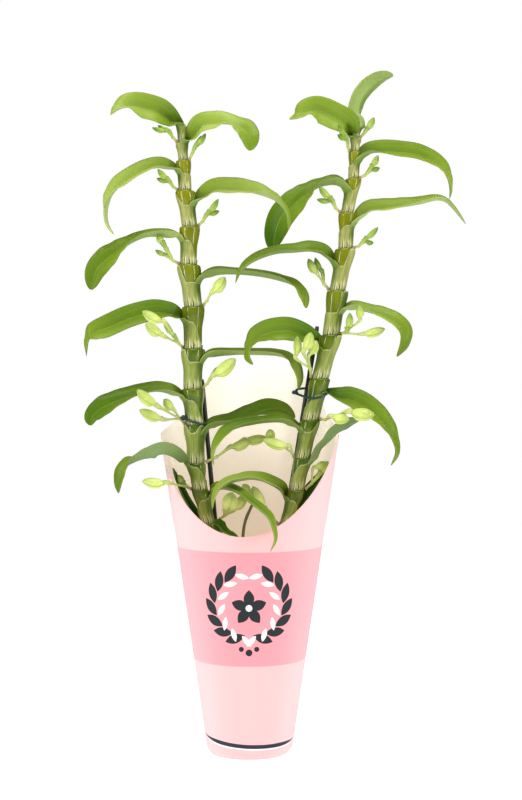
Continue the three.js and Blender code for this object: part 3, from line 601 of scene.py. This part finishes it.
def sheath_material():
    """Dry pleated paper, green on its leaf's side, with a ragged paler foot and a pale rim."""
    material, tree, shader = new_material("papery sheath", 0.42, 0.3)
    rise = measure_of(tree, "rise")
    green = measure_of(tree, "tone")
    dry = mix(ramp(height_of(tree), 0.28, 0.46), rgb(146, 162, 70), rgb(176, 175, 98))
    tinted = living(tree, mix(green, dry, rgb(70, 100, 14)), rgb(190, 186, 116), 70, 0.25)["Colour"]
    grain = grown(tree, 44, 0.9)
    lines = grain["Lines"]
    reach = plus(times(grain["Streaks"], 28), -3)
    frayed = times(ramp(calc("DIVIDE", rise, reach), 0.2, 1, 0.95, 0), ramp(green, 0.3, 1, 1, 0.45))
    teeth = mix(ramp(lines, 0.44, 0.54), rgb(84, 104, 14), rgb(222, 216, 160))
    bite = ramp(lines, 0.46, 0.54, 5, 0.2)
    feed(shader["Base Color"], layered(
        tinted, (ramp(lines, 0.44, 0.56, 0, 0.55), rgb(98, 118, 30)), (frayed, teeth),
        (ramp(uv_of(tree)[1], 0.95, 0.985, 0, 0.5), rgb(212, 216, 152)),
        (ramp(minus(bite, rise), -0.3, 0.3, 0, 0.9), rgb(62, 88, 4))))
    relief(shader, lines, 0.0005, 0.7)
    return material


def bud_material():
    """Pale closed petals with three seams and fine lines, greener at the tip and on small buds, paler low
    down and faintly glowing as painted light where the sleeve shades them.
    """
    # The emission is painted light: a faint glow that lifts the buds where they lie in shade.
    material, tree, shader = new_material("closed bud", 0.36, 0.35, Emission_Strength=0.07)
    turn, up, _ = uv_of(tree)
    tone = measure_of(tree, "tone")
    # Paler below about a quarter metre up: painted light for buds in the sleeve's shade.
    bud_paler_low_painted_light = mix(ramp(height_of(tree), 0.2, 0.26), rgb(232, 238, 152), rgb(212, 222, 126))
    tinted = living(tree, mix(tone, bud_paler_low_painted_light, rgb(120, 152, 36)), rgb(176, 196, 84), 160, 0.5)["Colour"]
    lines = grown(tree, 26, 1.5)["Lines"]
    seam = size_of(minus(calc("FRACT", times(turn, 3)), 0.5))
    ripening = times(ramp(up, 0.3, 0.95), plus(0.35, times(tone, 0.6)))
    finished = layered(tinted, (ramp(lines, 0.4, 0.7, 0, 0.3), rgb(158, 192, 74)),
                       (ramp(seam, 0, 0.05, 0.55, 0), rgb(120, 152, 40)), (ripening, rgb(78, 118, 14)))
    feed(shader["Base Color"], finished)
    feed(shader["Emission Color"], finished)
    relief(shader, plus(ramp(seam, 0, 0.07), times(lines, 0.3)), 0.0005, 0.7)
    return material


def stalk_material():
    """Pale green, and reddish brown where it leaves the cane."""
    material, tree, shader = new_material("bud stalk", 0.45, 0.45)
    fresh = living(tree, rgb(188, 206, 110), rgb(206, 186, 140), 220, 0.5)["Colour"]
    root = ramp(measure_of(tree, "rise"), 0, 0.45, 0.85, 0)
    feed(shader["Base Color"], mix(root, fresh, rgb(176, 136, 110)))
    relief(shader, grown(tree, 8, 6)["Lines"], 0.0004)
    return material


def plain_material(name, colour, drift, roughness, patch, depth, amount=0.5):
    """A made or dead surface: one colour with soft patches of a second and a fine matching relief."""
    material, tree, shader = new_material(name, roughness)
    tone = living(tree, colour, drift, patch, amount)
    feed(shader["Base Color"], tone["Colour"])
    relief(shader, tone["Patches"], depth)
    return material


def paper_fibre(tree, shader):
    relief(shader, speckle(object_place(tree), 900, 3), 0.0001, 0.35)


def printed(inside, soft=0.12):
    """Mask of a printed shape, from how far inside its edge a place lies, in millimetres."""
    return ramp(inside, -soft, soft)


def printed_leaf(sheet, centre, angle, length, width):
    """Mask of one leaf shape, pointed at both ends, in millimetres on the unrolled sleeve."""
    moved = node("VectorMath", {0: sheet, 1: (*centre, 0)}, operation="SUBTRACT")[0]
    turned = node("VectorRotate", {"Vector": moved, "Angle": -radians(angle)}, rotation_type="Z_AXIS")[0]
    parts = parts_of(turned)
    along = calc("DIVIDE", parts[0], length / 2)
    bow = times(minus(1, times(along, along)), width / 2)
    return printed(minus(bow, size_of(parts[1])))


def printed_dot(sheet, centre, radius):
    away = node("VectorMath", {0: sheet, 1: (*centre, 0)}, operation="DISTANCE")["Value"]
    return printed(minus(radius, away))


def around(centre, radius, bearing):
    angle = radians(bearing)
    return centre[0] + radius * cos(angle), centre[1] + radius * sin(angle)


def wreath(sheet, ring):
    """Masks of one ring of leaves, each with its mirror image on the other half."""
    outwards, up, turn, length, width = ring
    masks = []
    for bearing in WREATH_BEARINGS:
        x, y = around(WREATH_MIDDLE, WREATH_RADIUS, bearing)
        angle = bearing + 90 + turn
        masks.append(printed_leaf(sheet, (x + outwards, y + up), angle, length, width))
        masks.append(printed_leaf(sheet, (-x - outwards, y + up), 180 - angle, length, width))
    return masks


def flower(sheet):
    masks = []
    for bearing in PETAL_BEARINGS:
        centre = around(FLOWER_MIDDLE, PETAL_OUT, bearing)
        masks.append(printed_leaf(sheet, centre, bearing, PETAL_LENGTH, PETAL_WIDTH))
    return masks


def any_of(masks):
    whole = masks[0]
    for mask in masks[1:]:
        whole = calc("MAXIMUM", whole, mask)
    return whole


def sleeve_print_material():
    """Pale pink, paler at the sides as painted light, with a plain leaf wreath in slate and white on a deeper
    band and a line near the foot.
    """
    material, tree, shader = new_material("printed sleeve", 0.45, 0.3)
    up = times(height_of(tree), 1000)
    round_it = minus(uv_of(tree)[0], 0.5)
    girth = plus(times(up, SLEEVE_FLARE), SLEEVE_RADIUS)
    across = times(times(round_it, tau), girth)
    sheet = node("CombineXYZ", {0: across, 1: up})[0]

    # Paler towards the sides and round the back than in the middle of the front: painted light, as from
    # softboxes at both sides.
    side = ramp(size_of(round_it), 0.02, 0.24)
    base = mix(side, rgb(248, 187, 186), rgb(252, 212, 213))
    band_colour = mix(side, rgb(247, 151, 159), rgb(252, 187, 193))
    low, high = BAND
    in_band = times(printed(minus(up, low), 0.4), printed(minus(high, up), 0.4))
    paper = mix(in_band, base, band_colour)

    dark = wreath(sheet, OUTER_LEAVES) + flower(sheet)
    dark += [printed_dot(sheet, *berry) for berry in BERRIES]
    light = wreath(sheet, INNER_LEAVES) + [printed_dot(sheet, FLOWER_MIDDLE, FLOWER_HEART)]
    inked = layered(paper, (any_of(dark), rgb(28, 38, 42)), (any_of(light), rgb(250, 244, 244)))

    reach = calc("DIVIDE", across, LINE_REACH)
    bow = times(times(reach, reach), LINE_BOW)
    sway = minus(bow, times(reach, LINE_TILT))
    thickness = ramp(size_of(across), 68, 26, -0.4, 1.75)
    for height, share, ink in ((WHITE_LINE, 0.4, rgb(255, 246, 246)), (FOOT_LINE, 1, rgb(34, 42, 58))):
        off_line = size_of(minus(minus(up, height), sway))
        line = printed(minus(times(thickness, share), off_line), 0.15)
        inked = mix(line, inked, ink)
    feed(shader["Base Color"], inked)
    paper_fibre(tree, shader)
    return material


def sleeve_inside_material():
    """Cream paper with a faint painted glow, as if light came through, and painted shade that makes it duller
    low down.
    """
    material, tree, shader = new_material("sleeve inside", 0.6, 0.3, Emission_Strength=0.42)
    cream_with_painted_shade = mix(ramp(height_of(tree), 0.17, 0.33), rgb(226, 208, 190), rgb(252, 244, 232))
    feed(shader["Base Color"], cream_with_painted_shade)
    feed(shader["Emission Color"], cream_with_painted_shade)
    paper_fibre(tree, shader)
    return material


LEAF_UPPER = leaf_material(
    "leaf upper side", 0.34, pale=rgb(180, 204, 60), deep=rgb(26, 76, 0), drift=rgb(188, 208, 80),
    rib=rgb(150, 184, 70), margin=rgb(176, 170, 96))
LEAF_UNDER = leaf_material(
    "leaf underside", 0.44, pale=rgb(178, 202, 104), deep=rgb(46, 86, 4), drift=rgb(190, 210, 118),
    rib=rgb(190, 206, 124), margin=rgb(190, 180, 120))
# A greyer underside, as painted sheen.
LEAF_GREY_SHEEN = leaf_material(
    "grey sheen leaf underside", 0.5, pale=rgb(152, 176, 112), deep=rgb(58, 88, 44), drift=rgb(168, 188, 126),
    rib=rgb(160, 186, 124), margin=rgb(176, 184, 130))
CANE = cane_material()
SHEATH = sheath_material()
OLD_BARK = plain_material("old shoot", rgb(112, 128, 58), rgb(150, 132, 84), 0.5, 180, 0.0004)
BUD = bud_material()
STALK = stalk_material()
STAKE = plain_material("stake plastic", rgb(30, 36, 28), rgb(52, 60, 46), 0.32, 300, 0.0001)
TIE = plain_material("coated wire", rgb(18, 54, 50), rgb(40, 84, 76), 0.3, 400, 0.0001)
SLEEVE_PRINT = sleeve_print_material()
SLEEVE_INSIDE = sleeve_inside_material()
POT = plain_material("milky pot plastic", rgb(212, 200, 194), rgb(190, 178, 168), 0.35, 250, 0.0002)
GROWING_BARK = plain_material("growing bark", rgb(94, 64, 40), rgb(48, 32, 22), 0.9, 260, 0.002, 0.9)


# ---- canes ----

def cane_depth(side, z):
    share = max(0.0, z - BARK_TOP) / (CANE_TOP[side][1] - BARK_TOP)
    return CANE_LEAN[side] * share * share


def cane_point(side, x, z):
    return set_out(x, cane_depth(side, z), z)


def beside_cane(side, x, depth, z):
    """A point whose depth is given from the cane's own."""
    return set_out(x, cane_depth(side, z) + depth, z)


def node_above(side, index):
    return CANE_NODES[side][index - 1] if index else CANE_TOP[side]


def cane_section(side, index, share):
    """Centre and bare radius at a share of the way up from one node to the next."""
    x, z, radius, _ = CANE_NODES[side][index]
    above = node_above(side, index)
    centre = cane_point(side, lerp(x, above[0], share), lerp(z, above[1], share))
    return centre, radius * (CANE_WAIST + CANE_SWELL * ease(share, 0.42, 0.9))


def cane_at_height(side, index, z):
    """Centre and bare radius where the length above a node is at a height."""
    low, high = cane_section(side, index, 0)[0].z, cane_section(side, index, 1)[0].z
    return cane_section(side, index, clamp((z - low) / (high - low), 0, 1.1))


def side_of(side, index):
    return FIRST_LEAF_SIDE[side] * (1 if index % 2 == 0 else -1)


def half_turn(bearing):
    """The same bearing, from -180 to 180."""
    return (bearing + 180) % 360 - 180


def sheath_top(side, index, angle):
    """Share of the length that the sheath covers, at an angle round the cane from its leaf's side."""
    cover = CANE_NODES[side][index][3]
    away = abs(half_turn(degrees(angle)))
    fall = FALL[side][index] if index < len(FALL[side]) else LOW_FALL
    wobble = 0.015 * noise.noise(Vector((cos(angle) * 2, sin(angle) * 2, index * 3.7)))
    clasped = cover + 0.1 * (1 - ease(away, 30, 75))
    if index not in WINDOW[side]:
        return clamp(clasped - fall * ease(away, 85, 165) + wobble, 0.06, 0.97)
    start, end, soft = WINDOW[side][index]
    from_front = half_turn(degrees(angle) + (90 if side_of(side, index) > 0 else 270))
    opened = ease(from_front, start, start + soft) * (1 - ease(from_front, end - soft, end))
    return lerp(0.985, cover + wobble, opened)


def sheath(shape, side, index):
    """A node's sheath round the bare cane: an outer skin and an inner one, drawn closer together at their
    edges.
    """
    leaf_side = 0.0 if side_of(side, index) > 0 else pi
    length = node_above(side, index)[1] - CANE_NODES[side][index][1]

    def share_at(u, v):
        return v * sheath_top(side, index, u * tau - leaf_side)

    def rise(u, v):
        return share_at(u, v) * length

    def tone(u, v):
        young = 0.3 if index < 2 else 0.0
        near_leaf = (1 + cos(u * tau - leaf_side)) / 2
        return clamp(young + 1.3 * ease(near_leaf, 0.45, 1.0) * (0.65 + 0.35 * v) + 0.1 * v)

    def wall(offset):
        def place(u, v):
            angle = u * tau
            centre, radius = cane_section(side, index, share_at(u, v))
            edge = 1.0 if 0.01 < v < 0.99 else 0.5
            lift = lerp(0.05, offset * lerp(0.6, 1.1, v), edge)
            ripple = 0.08 * sin(angle * 17 + index) * (1 - v)
            return centre + spoke(angle) * (radius + lift + ripple)
        return place

    skin(shape, *SHEATH_GRID, wall(SHEATH_STEP), 1, rise=rise, tone=tone)
    skin(shape, *SHEATH_GRID, wall(SHEATH_INSIDE), 1, True, rise=rise, tone=tone)


def old_shoot_girth(share):
    return 1.75 - 0.5 * share + 0.25 * swell(share * OLD_SHOOT_RINGS % 1, 0.5, 0.1291)


def cane(side):
    shape = new_shape("rise", "tone")
    nodes = CANE_NODES[side]
    rings = [(step / CANE_STEPS, 1.0) for step in range(CANE_STEPS)] + NODE_GROOVE
    foot = cane_point(side, *CANE_FOOT[side])
    stations = [(foot, 0, 0), (foot, nodes[-1][2] * CANE_WAIST, 0.0)]
    for index in reversed(range(len(nodes))):
        for share, girth in rings:
            centre, radius = cane_section(side, index, share)
            stations.append((centre, radius * girth, share))
    top_x, top_z, top_radius = CANE_TOP[side]
    top = cane_point(side, top_x, top_z)
    stations += [(top, top_radius * 0.7, 0.9), (top + Vector((0, 0, 1)), 0, 0.9)]
    rows = len(stations) - 1

    def place(u, v):
        centre, radius, _ = stations[round(v * rows)]
        return centre + spoke(u * tau) * radius

    skin(shape, CANE_SIDES, rows, place, 0, rise=lambda u, v: stations[round(v * rows)][2])
    for index in range(len(nodes)):
        sheath(shape, side, index)
    materials = [CANE, SHEATH]
    if side == "right":
        materials.append(OLD_BARK)
        tube(shape, Path(OLD_SHOOT), 16, 40, old_shoot_girth, 2)
    finish_piece(f"cane_{side}_with_sheaths", shape, materials, "cane", f"cane_{side}")


# ---- leaves ----

def blade_width(share):
    past = max(0.0, share - 0.5) / 0.5
    return (0.84 + 0.18 * ease(share, 0, 0.32)) * sqrt(max(0.012, 1 - past**2.4))


def blade_share(step):
    """Stations along a leaf, closer together at its clasping foot and at its tip."""
    return ease(step) * 0.55 + step * 0.45


def leaf_stations(curve, rolls, width, out):
    """Row by row: share along the leaf, its middle, the way across it, the way it faces, half its width."""
    stations = []
    for row in range(LEAF_ROWS + 1):
        share = blade_share(row / LEAF_ROWS)
        t = curve.at_share(share)
        along = curve.heading(t)
        spot = t * (len(rolls) - 1)
        before = min(int(spot), len(rolls) - 2)
        roll = radians(lerp(rolls[before], rolls[before + 1], ease(spot - before)))
        level = square_to(Vector((0, 1, 0)), along)
        up = along.cross(level) * out
        across = level * cos(roll) + up * sin(roll)
        face = up * cos(roll) - level * sin(roll)
        stations.append((share, curve.spot(t), across, face, width / 2 * blade_width(share)))
    return stations


def leaf(side, index):
    width, greens, path = LEAVES[side][index]
    out = side_of(side, index)
    centre, radius = cane_section(side, index, CANE_NODES[side][index][3] - 0.04)
    clasp = out * (radius + SHEATH_STEP + LEAF_SEAT)
    points = [centre + Vector((clasp, 0, 0)), centre + Vector((clasp + out * LEAF_RISE[0], 0, LEAF_RISE[1]))]
    points += [beside_cane(side, *point[:3]) for point in path]
    rolls = [path[0][3]] * 2 + [point[3] for point in path]
    stations = leaf_stations(Path(points), rolls, width, out)
    seed = index * 7.3 + (50 if side == "right" else 0)

    def blade_side(sign):
        def place(u, v):
            share, spot, across, face, half = stations[round(u * LEAF_ROWS)]
            a = 2 * v - 1
            foot, middle, tip = FOLD
            fold = radians(lerp(lerp(foot, middle, ease(share, 0.02, 0.35)), tip, ease(share, 0.55, 1)))
            valley = sqrt(a * a + 0.003) - sqrt(0.003)
            crown = 0.1 * sin(pi * abs(a)) * ease(share, 0.03, 0.2)
            wave = 0.4 * a * abs(a) * noise.noise(Vector((share * 4, a * 0.6, seed))) * ease(share, 0.1, 0.3)
            lift = half * (sin(fold) * (valley - 0.5) + crown) + wave
            blade = spot + across * (a * half * cos(fold)) + face * lift
            thick = LEAF_THICKNESS / 2 * sqrt(max(0, 1 - abs(a) ** 6)) * min(1, (1 - share) * 14) * sign
            free = ease(share, 0.01, CLASP_SHARE)
            if free >= 1:
                return blade + face * thick
            sheath_centre, bare = cane_at_height(side, index, spot.z)
            spread = min(half / (bare + 1.2), 2.3) * lerp(1, 0.8, free) * a
            radial = Vector((out * cos(spread), sin(spread), 0))
            gap = lerp(LEAF_TUCK, LEAF_SEAT + 0.45, ease(share, 0, 0.035))
            hug = sheath_centre + radial * (bare + SHEATH_STEP + gap)
            normal = face.lerp(-radial, 1 - free).normalized()
            return hug.lerp(blade, free) + normal * (thick * lerp(0.12, 1, ease(share, 0, 0.04)))
        return place

    def depth_of_green_and_shade(u, v):
        """Given at foot, middle and tip, and a little deeper on the back half than on the front half, as
        painted shade.
        """
        foot, middle, tip = greens
        along = lerp(lerp(foot, middle, ease(u, 0.12, 0.5)), tip, ease(u, 0.5, 0.88))
        return clamp(along + lerp(FRONT_PAINTED_LIGHT, BACK_PAINTED_SHADE * (1 - u) ** 0.8, ease(v, 0.44, 0.56)))

    shape = new_shape("tone")
    skin(shape, LEAF_ROWS, LEAF_COLUMNS, blade_side(1), 0, out < 0, tone=depth_of_green_and_shade)
    skin(shape, LEAF_ROWS, LEAF_COLUMNS, blade_side(-1), 1, out > 0, tone=depth_of_green_and_shade)
    node_name = f"leaf_{side}_{index + 1:02d}"
    finishes = [LEAF_UPPER, LEAF_GREY_SHEEN if index == GREY_SHEEN_LEAF else LEAF_UNDER]
    finish_piece(f"{node_name}_blade", shape, finishes, "leaf", node_name)


# ---- bud sprays ----

def bud(shape, base, tip, radius, tone):
    axis = (tip - base).normalized()
    length = (tip - base).length
    down = square_to(Vector((0, 0, -1)), axis)
    aside = axis.cross(down)
    plump = clamp((radius - 2.2) / 2)

    def place(u, v):
        angle = u * tau
        girth = sin(pi * v ** lerp(0.9, 1.12, plump)) ** lerp(0.72, 0.68, plump)
        girth *= 1 + 0.045 * cos(3 * angle + pi) * ease(v, 0.1, 0.4)
        chin = lerp(0.08, 0.2, plump) * swell(v, 0.3, 0.16) * max(0, cos(angle)) * min(1, v * 9)
        bend = down * (0.06 * length * sin(pi * v))
        outwards = down * cos(angle) + aside * sin(angle)
        return base + axis * (length * v) + bend + outwards * radius * (girth + chin)

    skin(shape, *BUD_GRID, place, 0, tone=tone)


def stalk_girth(share):
    """Thick where the stalk leaves the cane, and a little thicker again at its fork."""
    return 1.25 + 0.55 * swell(share, 0.06, 0.12) + 0.35 * swell(share, 0.95, 0.12)


def stem_girth(radius):
    """Slender under a grown bud, and thick with three overlapping bracts under a small one."""
    if radius > SMALL_BUD:
        return lambda share: lerp(0.95, 0.5 * radius, ease(share, 0.5, 1.0))
    return lambda share: lerp(1.0, 0.72 * radius, share) * (1 + 0.3 * (share * 3 % 1))


def spray(side, index):
    buds = []
    for base, tip, radius in BUDS[side][index]:
        buds.append((beside_cane(side, *base), beside_cane(side, *tip), radius))
    centre, radius = cane_section(side, index, 0.03)
    root = centre + Vector((side_of(side, index) * (radius + SHEATH_STEP + 0.3), 0, 0))
    nearest = min((base for base, _, _ in buds), key=lambda base: (base - root).length)
    fork = root.lerp(nearest, 0.5)
    fork.z -= 0.06 * (nearest - root).length
    rise = (nearest - root).normalized()
    shape = new_shape("tone", "rise")
    tube(shape, Path([root, root.lerp(fork, 0.5), fork]), 14, 16, stalk_girth, 1, rise=lambda u, v: v * 0.5)
    for base, tip, radius in buds:
        axis = (tip - base).normalized()
        stem = Path([fork - rise * 0.4, base - axis * 1.5, base + axis * 2.5])
        finish = 0 if radius <= SMALL_BUD else 1
        tube(shape, stem, 12, 32, stem_girth(radius), finish, rise=lambda u, v: 0.5 + v * 0.5,
             tone=BRACT_TONE)
        bud(shape, base, tip, radius, clamp((4.2 - radius) / 2.2))
    node_name = f"buds_{side}_{index + 1:02d}"
    finish_piece(f"{node_name}_spray", shape, [BUD, STALK], "bud", node_name)


# ---- stakes and ties ----

def stake_girth(share):
    """Even, and narrower at the very top."""
    return STAKE_RADIUS * (1 - 0.25 * ease(share, 0.992, 1.0))


def stake(side):
    shape = new_shape()
    tube(shape, Path([set_out(*end) for end in STAKES[side]]), 20, 60, stake_girth)
    finish_piece(f"stake_{side}_bar", shape, [STAKE], "stake", f"stake_{side}")


def tie(side):
    """Wire wound a little more than once round cane and stake, with its two ends twisted together."""
    height, slope, lean, start, slack = TIES[side]
    foot, top = [set_out(*end) for end in STAKES[side]]
    index = next(i for i, (x, z, _, _) in enumerate(CANE_NODES[side]) if cane_point(side, x, z).z < height)
    cane_centre, cane_radius = cane_at_height(side, index, height)
    reach = TIE_RADIUS + TIE_CLEARANCE
    eye = foot.lerp(top, (height - foot.z) / (top.z - foot.z)) + Vector((slack, 0, 0))
    circles = [(cane_centre, cane_radius + SHEATH_STEP + reach), (eye, STAKE_RADIUS + reach)]
    steps = 26
    points = []
    for i in range(steps + 1):
        normal = spoke(radians(start + i / steps * TIE_SWEEP))
        centre, radius = max(circles, key=lambda c: c[0].dot(normal) + c[1])
        point = centre + normal * radius
        point.z = height + slope * (point.x - cane_centre.x) + lean * (point.y - cane_centre.y)
        point.z += i / steps * TIE_RADIUS * 2.4
        points.append(point)

    shape = new_shape()
    tube(shape, Path(points), 10, 160, TIE_RADIUS)
    upright = Vector((0, 0, 1))
    outward = square_to(points[0] - cane_centre, upright)
    sideways = Vector((-outward.y, outward.x, 0))
    twist_root = (points[0] + points[-1]) / 2
    for strand in (0, pi):
        twist = []
        for i in range(15):
            turn = strand + i * 0.95
            ring = sideways * cos(turn) + upright * sin(turn)
            twist.append(twist_root + outward * (i * 0.3 - 0.8) + ring * 0.95)
        tube(shape, Path(twist), 10, 70, TIE_RADIUS * 0.9)
    finish_piece(f"tie_{side}_wire", shape, [TIE], "tie", f"tie_{side}")


# ---- sleeve and bark ----

def rim_height(bearing):
    away = abs(half_turn(bearing))
    if away <= 90:
        return SLEEVE_SIDE_RIM - (SLEEVE_SIDE_RIM - SLEEVE_FRONT_RIM) * cos(radians(away))
    for (a, low), (b, high) in zip(SLEEVE_BACK_RIM, SLEEVE_BACK_RIM[1:]):
        if away <= b:
            return lerp(low, high, (away - a) / (b - a))
    return SLEEVE_BACK_RIM[-1][1]


def foot_height(bearing):
    limit = sin(radians(FOOT_FLAT))
    return FOOT_LIFT * max(0.0, abs(sin(radians(bearing))) - limit) / (1 - limit)


def sleeve():
    """A cone of paper, printed outside and plain inside, creased at both sides and cut to its rim."""
    shares = [0, 0.0012, *(i / 40 for i in range(1, 40)), 0.9988, 1, 1, 1]
    rows = len(shares) - 1

    def wall(inset):
        def place(u, v):
            angle = (u - 0.5) * tau
            bearing = degrees(angle) + SLEEVE_TURN
            share = shares[round(v * rows)]
            z = lerp(foot_height(bearing), rim_height(bearing), share)
            crease = SLEEVE_CREASE * (swell(abs(bearing), 90, 3.5) - 1)
            edge = 0.5 if share in (0, 1) else 1
            radius = SLEEVE_RADIUS + SLEEVE_FLARE * z + crease - lerp(SLEEVE_WALL / 2, inset, edge)
            return Vector((radius * sin(angle), -radius * cos(angle), z))
        return place

    shape = new_shape()
    skin(shape, SLEEVE_COLUMNS, rows, wall(0.0), 0)
    skin(shape, SLEEVE_COLUMNS, rows, wall(SLEEVE_WALL), 1, True)
    finish_piece("printed_sleeve", shape, [SLEEVE_PRINT, SLEEVE_INSIDE], "sleeve", "sleeve")


def bark_chips():
    """Loose chips lying on the growing medium, clear of the canes."""
    shape = new_shape()
    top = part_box("growing_medium")[1][2] / MM - CHIP_SINK
    for k in range(CHIPS):
        spot = spoke(k * GOLDEN_TURN) * CHIP_SPREAD * sqrt((k + 0.5) / CHIPS)
        if min((spot - Vector((hole, 0, 0))).length for hole in CANE_HOLES) < HOLE_CLEARANCE:
            continue
        spot.z = top
        chip = bmesh.ops.create_icosphere(shape, subdivisions=2, radius=1)["verts"]
        size = 2.2 + 1.6 * abs(noise.noise(Vector((k * 1.7, 0.3, 0))))
        turn = Matrix.Rotation(k * 1.3, 3, "Z") @ Matrix.Rotation(0.5 * sin(k * 2.1), 3, "X")
        for corner in chip:
            rough = 1 + 0.35 * noise.noise(corner.co * 1.9 + Vector((k, 0, 0)))
            flattened = Vector((corner.co.x * 1.7, corner.co.y, corner.co.z * 0.5))
            corner.co = spot + turn @ (flattened * size * rough)
    finish_piece("bark_chips", shape, [GROWING_BARK], "bark")


# ---- studio ----

def light_table():
    """A round floor that glows evenly, a little less near the middle and much less in gloss."""
    paper, tree, shader = new_material("light table", 0.8, 0.2, Emission_Strength=1.0)
    shader["Base Color"].default_value = rgb(250, 250, 250)
    away = node("VectorMath", {0: object_place(tree)}, operation="LENGTH")["Value"]
    in_gloss = add_node(tree, "LightPath").outputs["Is Glossy Ray"]
    feed(shader["Emission Color"], times(ramp(away, 0.9, 1.7, 0.6, 1), ramp(in_gloss, 0, 1, 1, 0.25)))
    disc = bmesh.new()
    bmesh.ops.create_circle(disc, cap_ends=True, segments=96, radius=2.2)
    floor = add_mesh("studio_floor", disc, [paper])


def surroundings():
    """White all round to the eye, and dim as light."""
    world = bpy.data.worlds.new("studio")
    world.use_nodes = True
    tree = world.node_tree
    rays = add_node(tree, "LightPath").outputs
    soft = ramp(rays["Is Glossy Ray"], 0, 1, 0.3, 0.12)
    backdrop = tree.nodes["Background"].inputs
    backdrop["Color"].default_value = (1, 1, 1, 1)
    feed(backdrop["Strength"], calc("MAXIMUM", rays["Is Camera Ray"], soft))
    scene.world = world


def softbox(name, place, size, power, mirrored):
    light = bpy.data.lights.new(name, "AREA")
    light.shape = "RECTANGLE"
    light.size, light.size_y = size
    light.energy = power
    lamp = add_object(name, light)
    lamp.location = place
    lamp.visible_glossy = mirrored
    lamp.rotation_euler = (SOFTBOX_AIM - Vector(place)).to_track_quat("-Z", "Y").to_euler()


def camera():
    view = bpy.data.cameras.new("front view")
    view.lens = 63
    view.sensor_width = 36
    scene.camera = add_object("front view", view)
    scene.camera.location = (EYE + SLEEVE_PLACE) * MM
    scene.camera.rotation_euler = (pi / 2, 0, 0)


# ---- making ----

for side in ("left", "right"):
    cane(side)
    stake(side)
    tie(side)
    for index in range(len(LEAVES[side])):
        leaf(side, index)
    for index in range(len(BUDS[side])):
        spray(side, index)
sleeve()
bark_chips()

for name, material in (("grow_pot", POT), ("growing_medium", GROWING_BARK)):
    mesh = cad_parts[name].data
    mesh.materials.clear()
    mesh.materials.append(material)

light_table()
surroundings()
for name, settings in SOFTBOXES.items():
    softbox(name, *settings)
camera()
scene.view_settings.view_transform = "Standard"
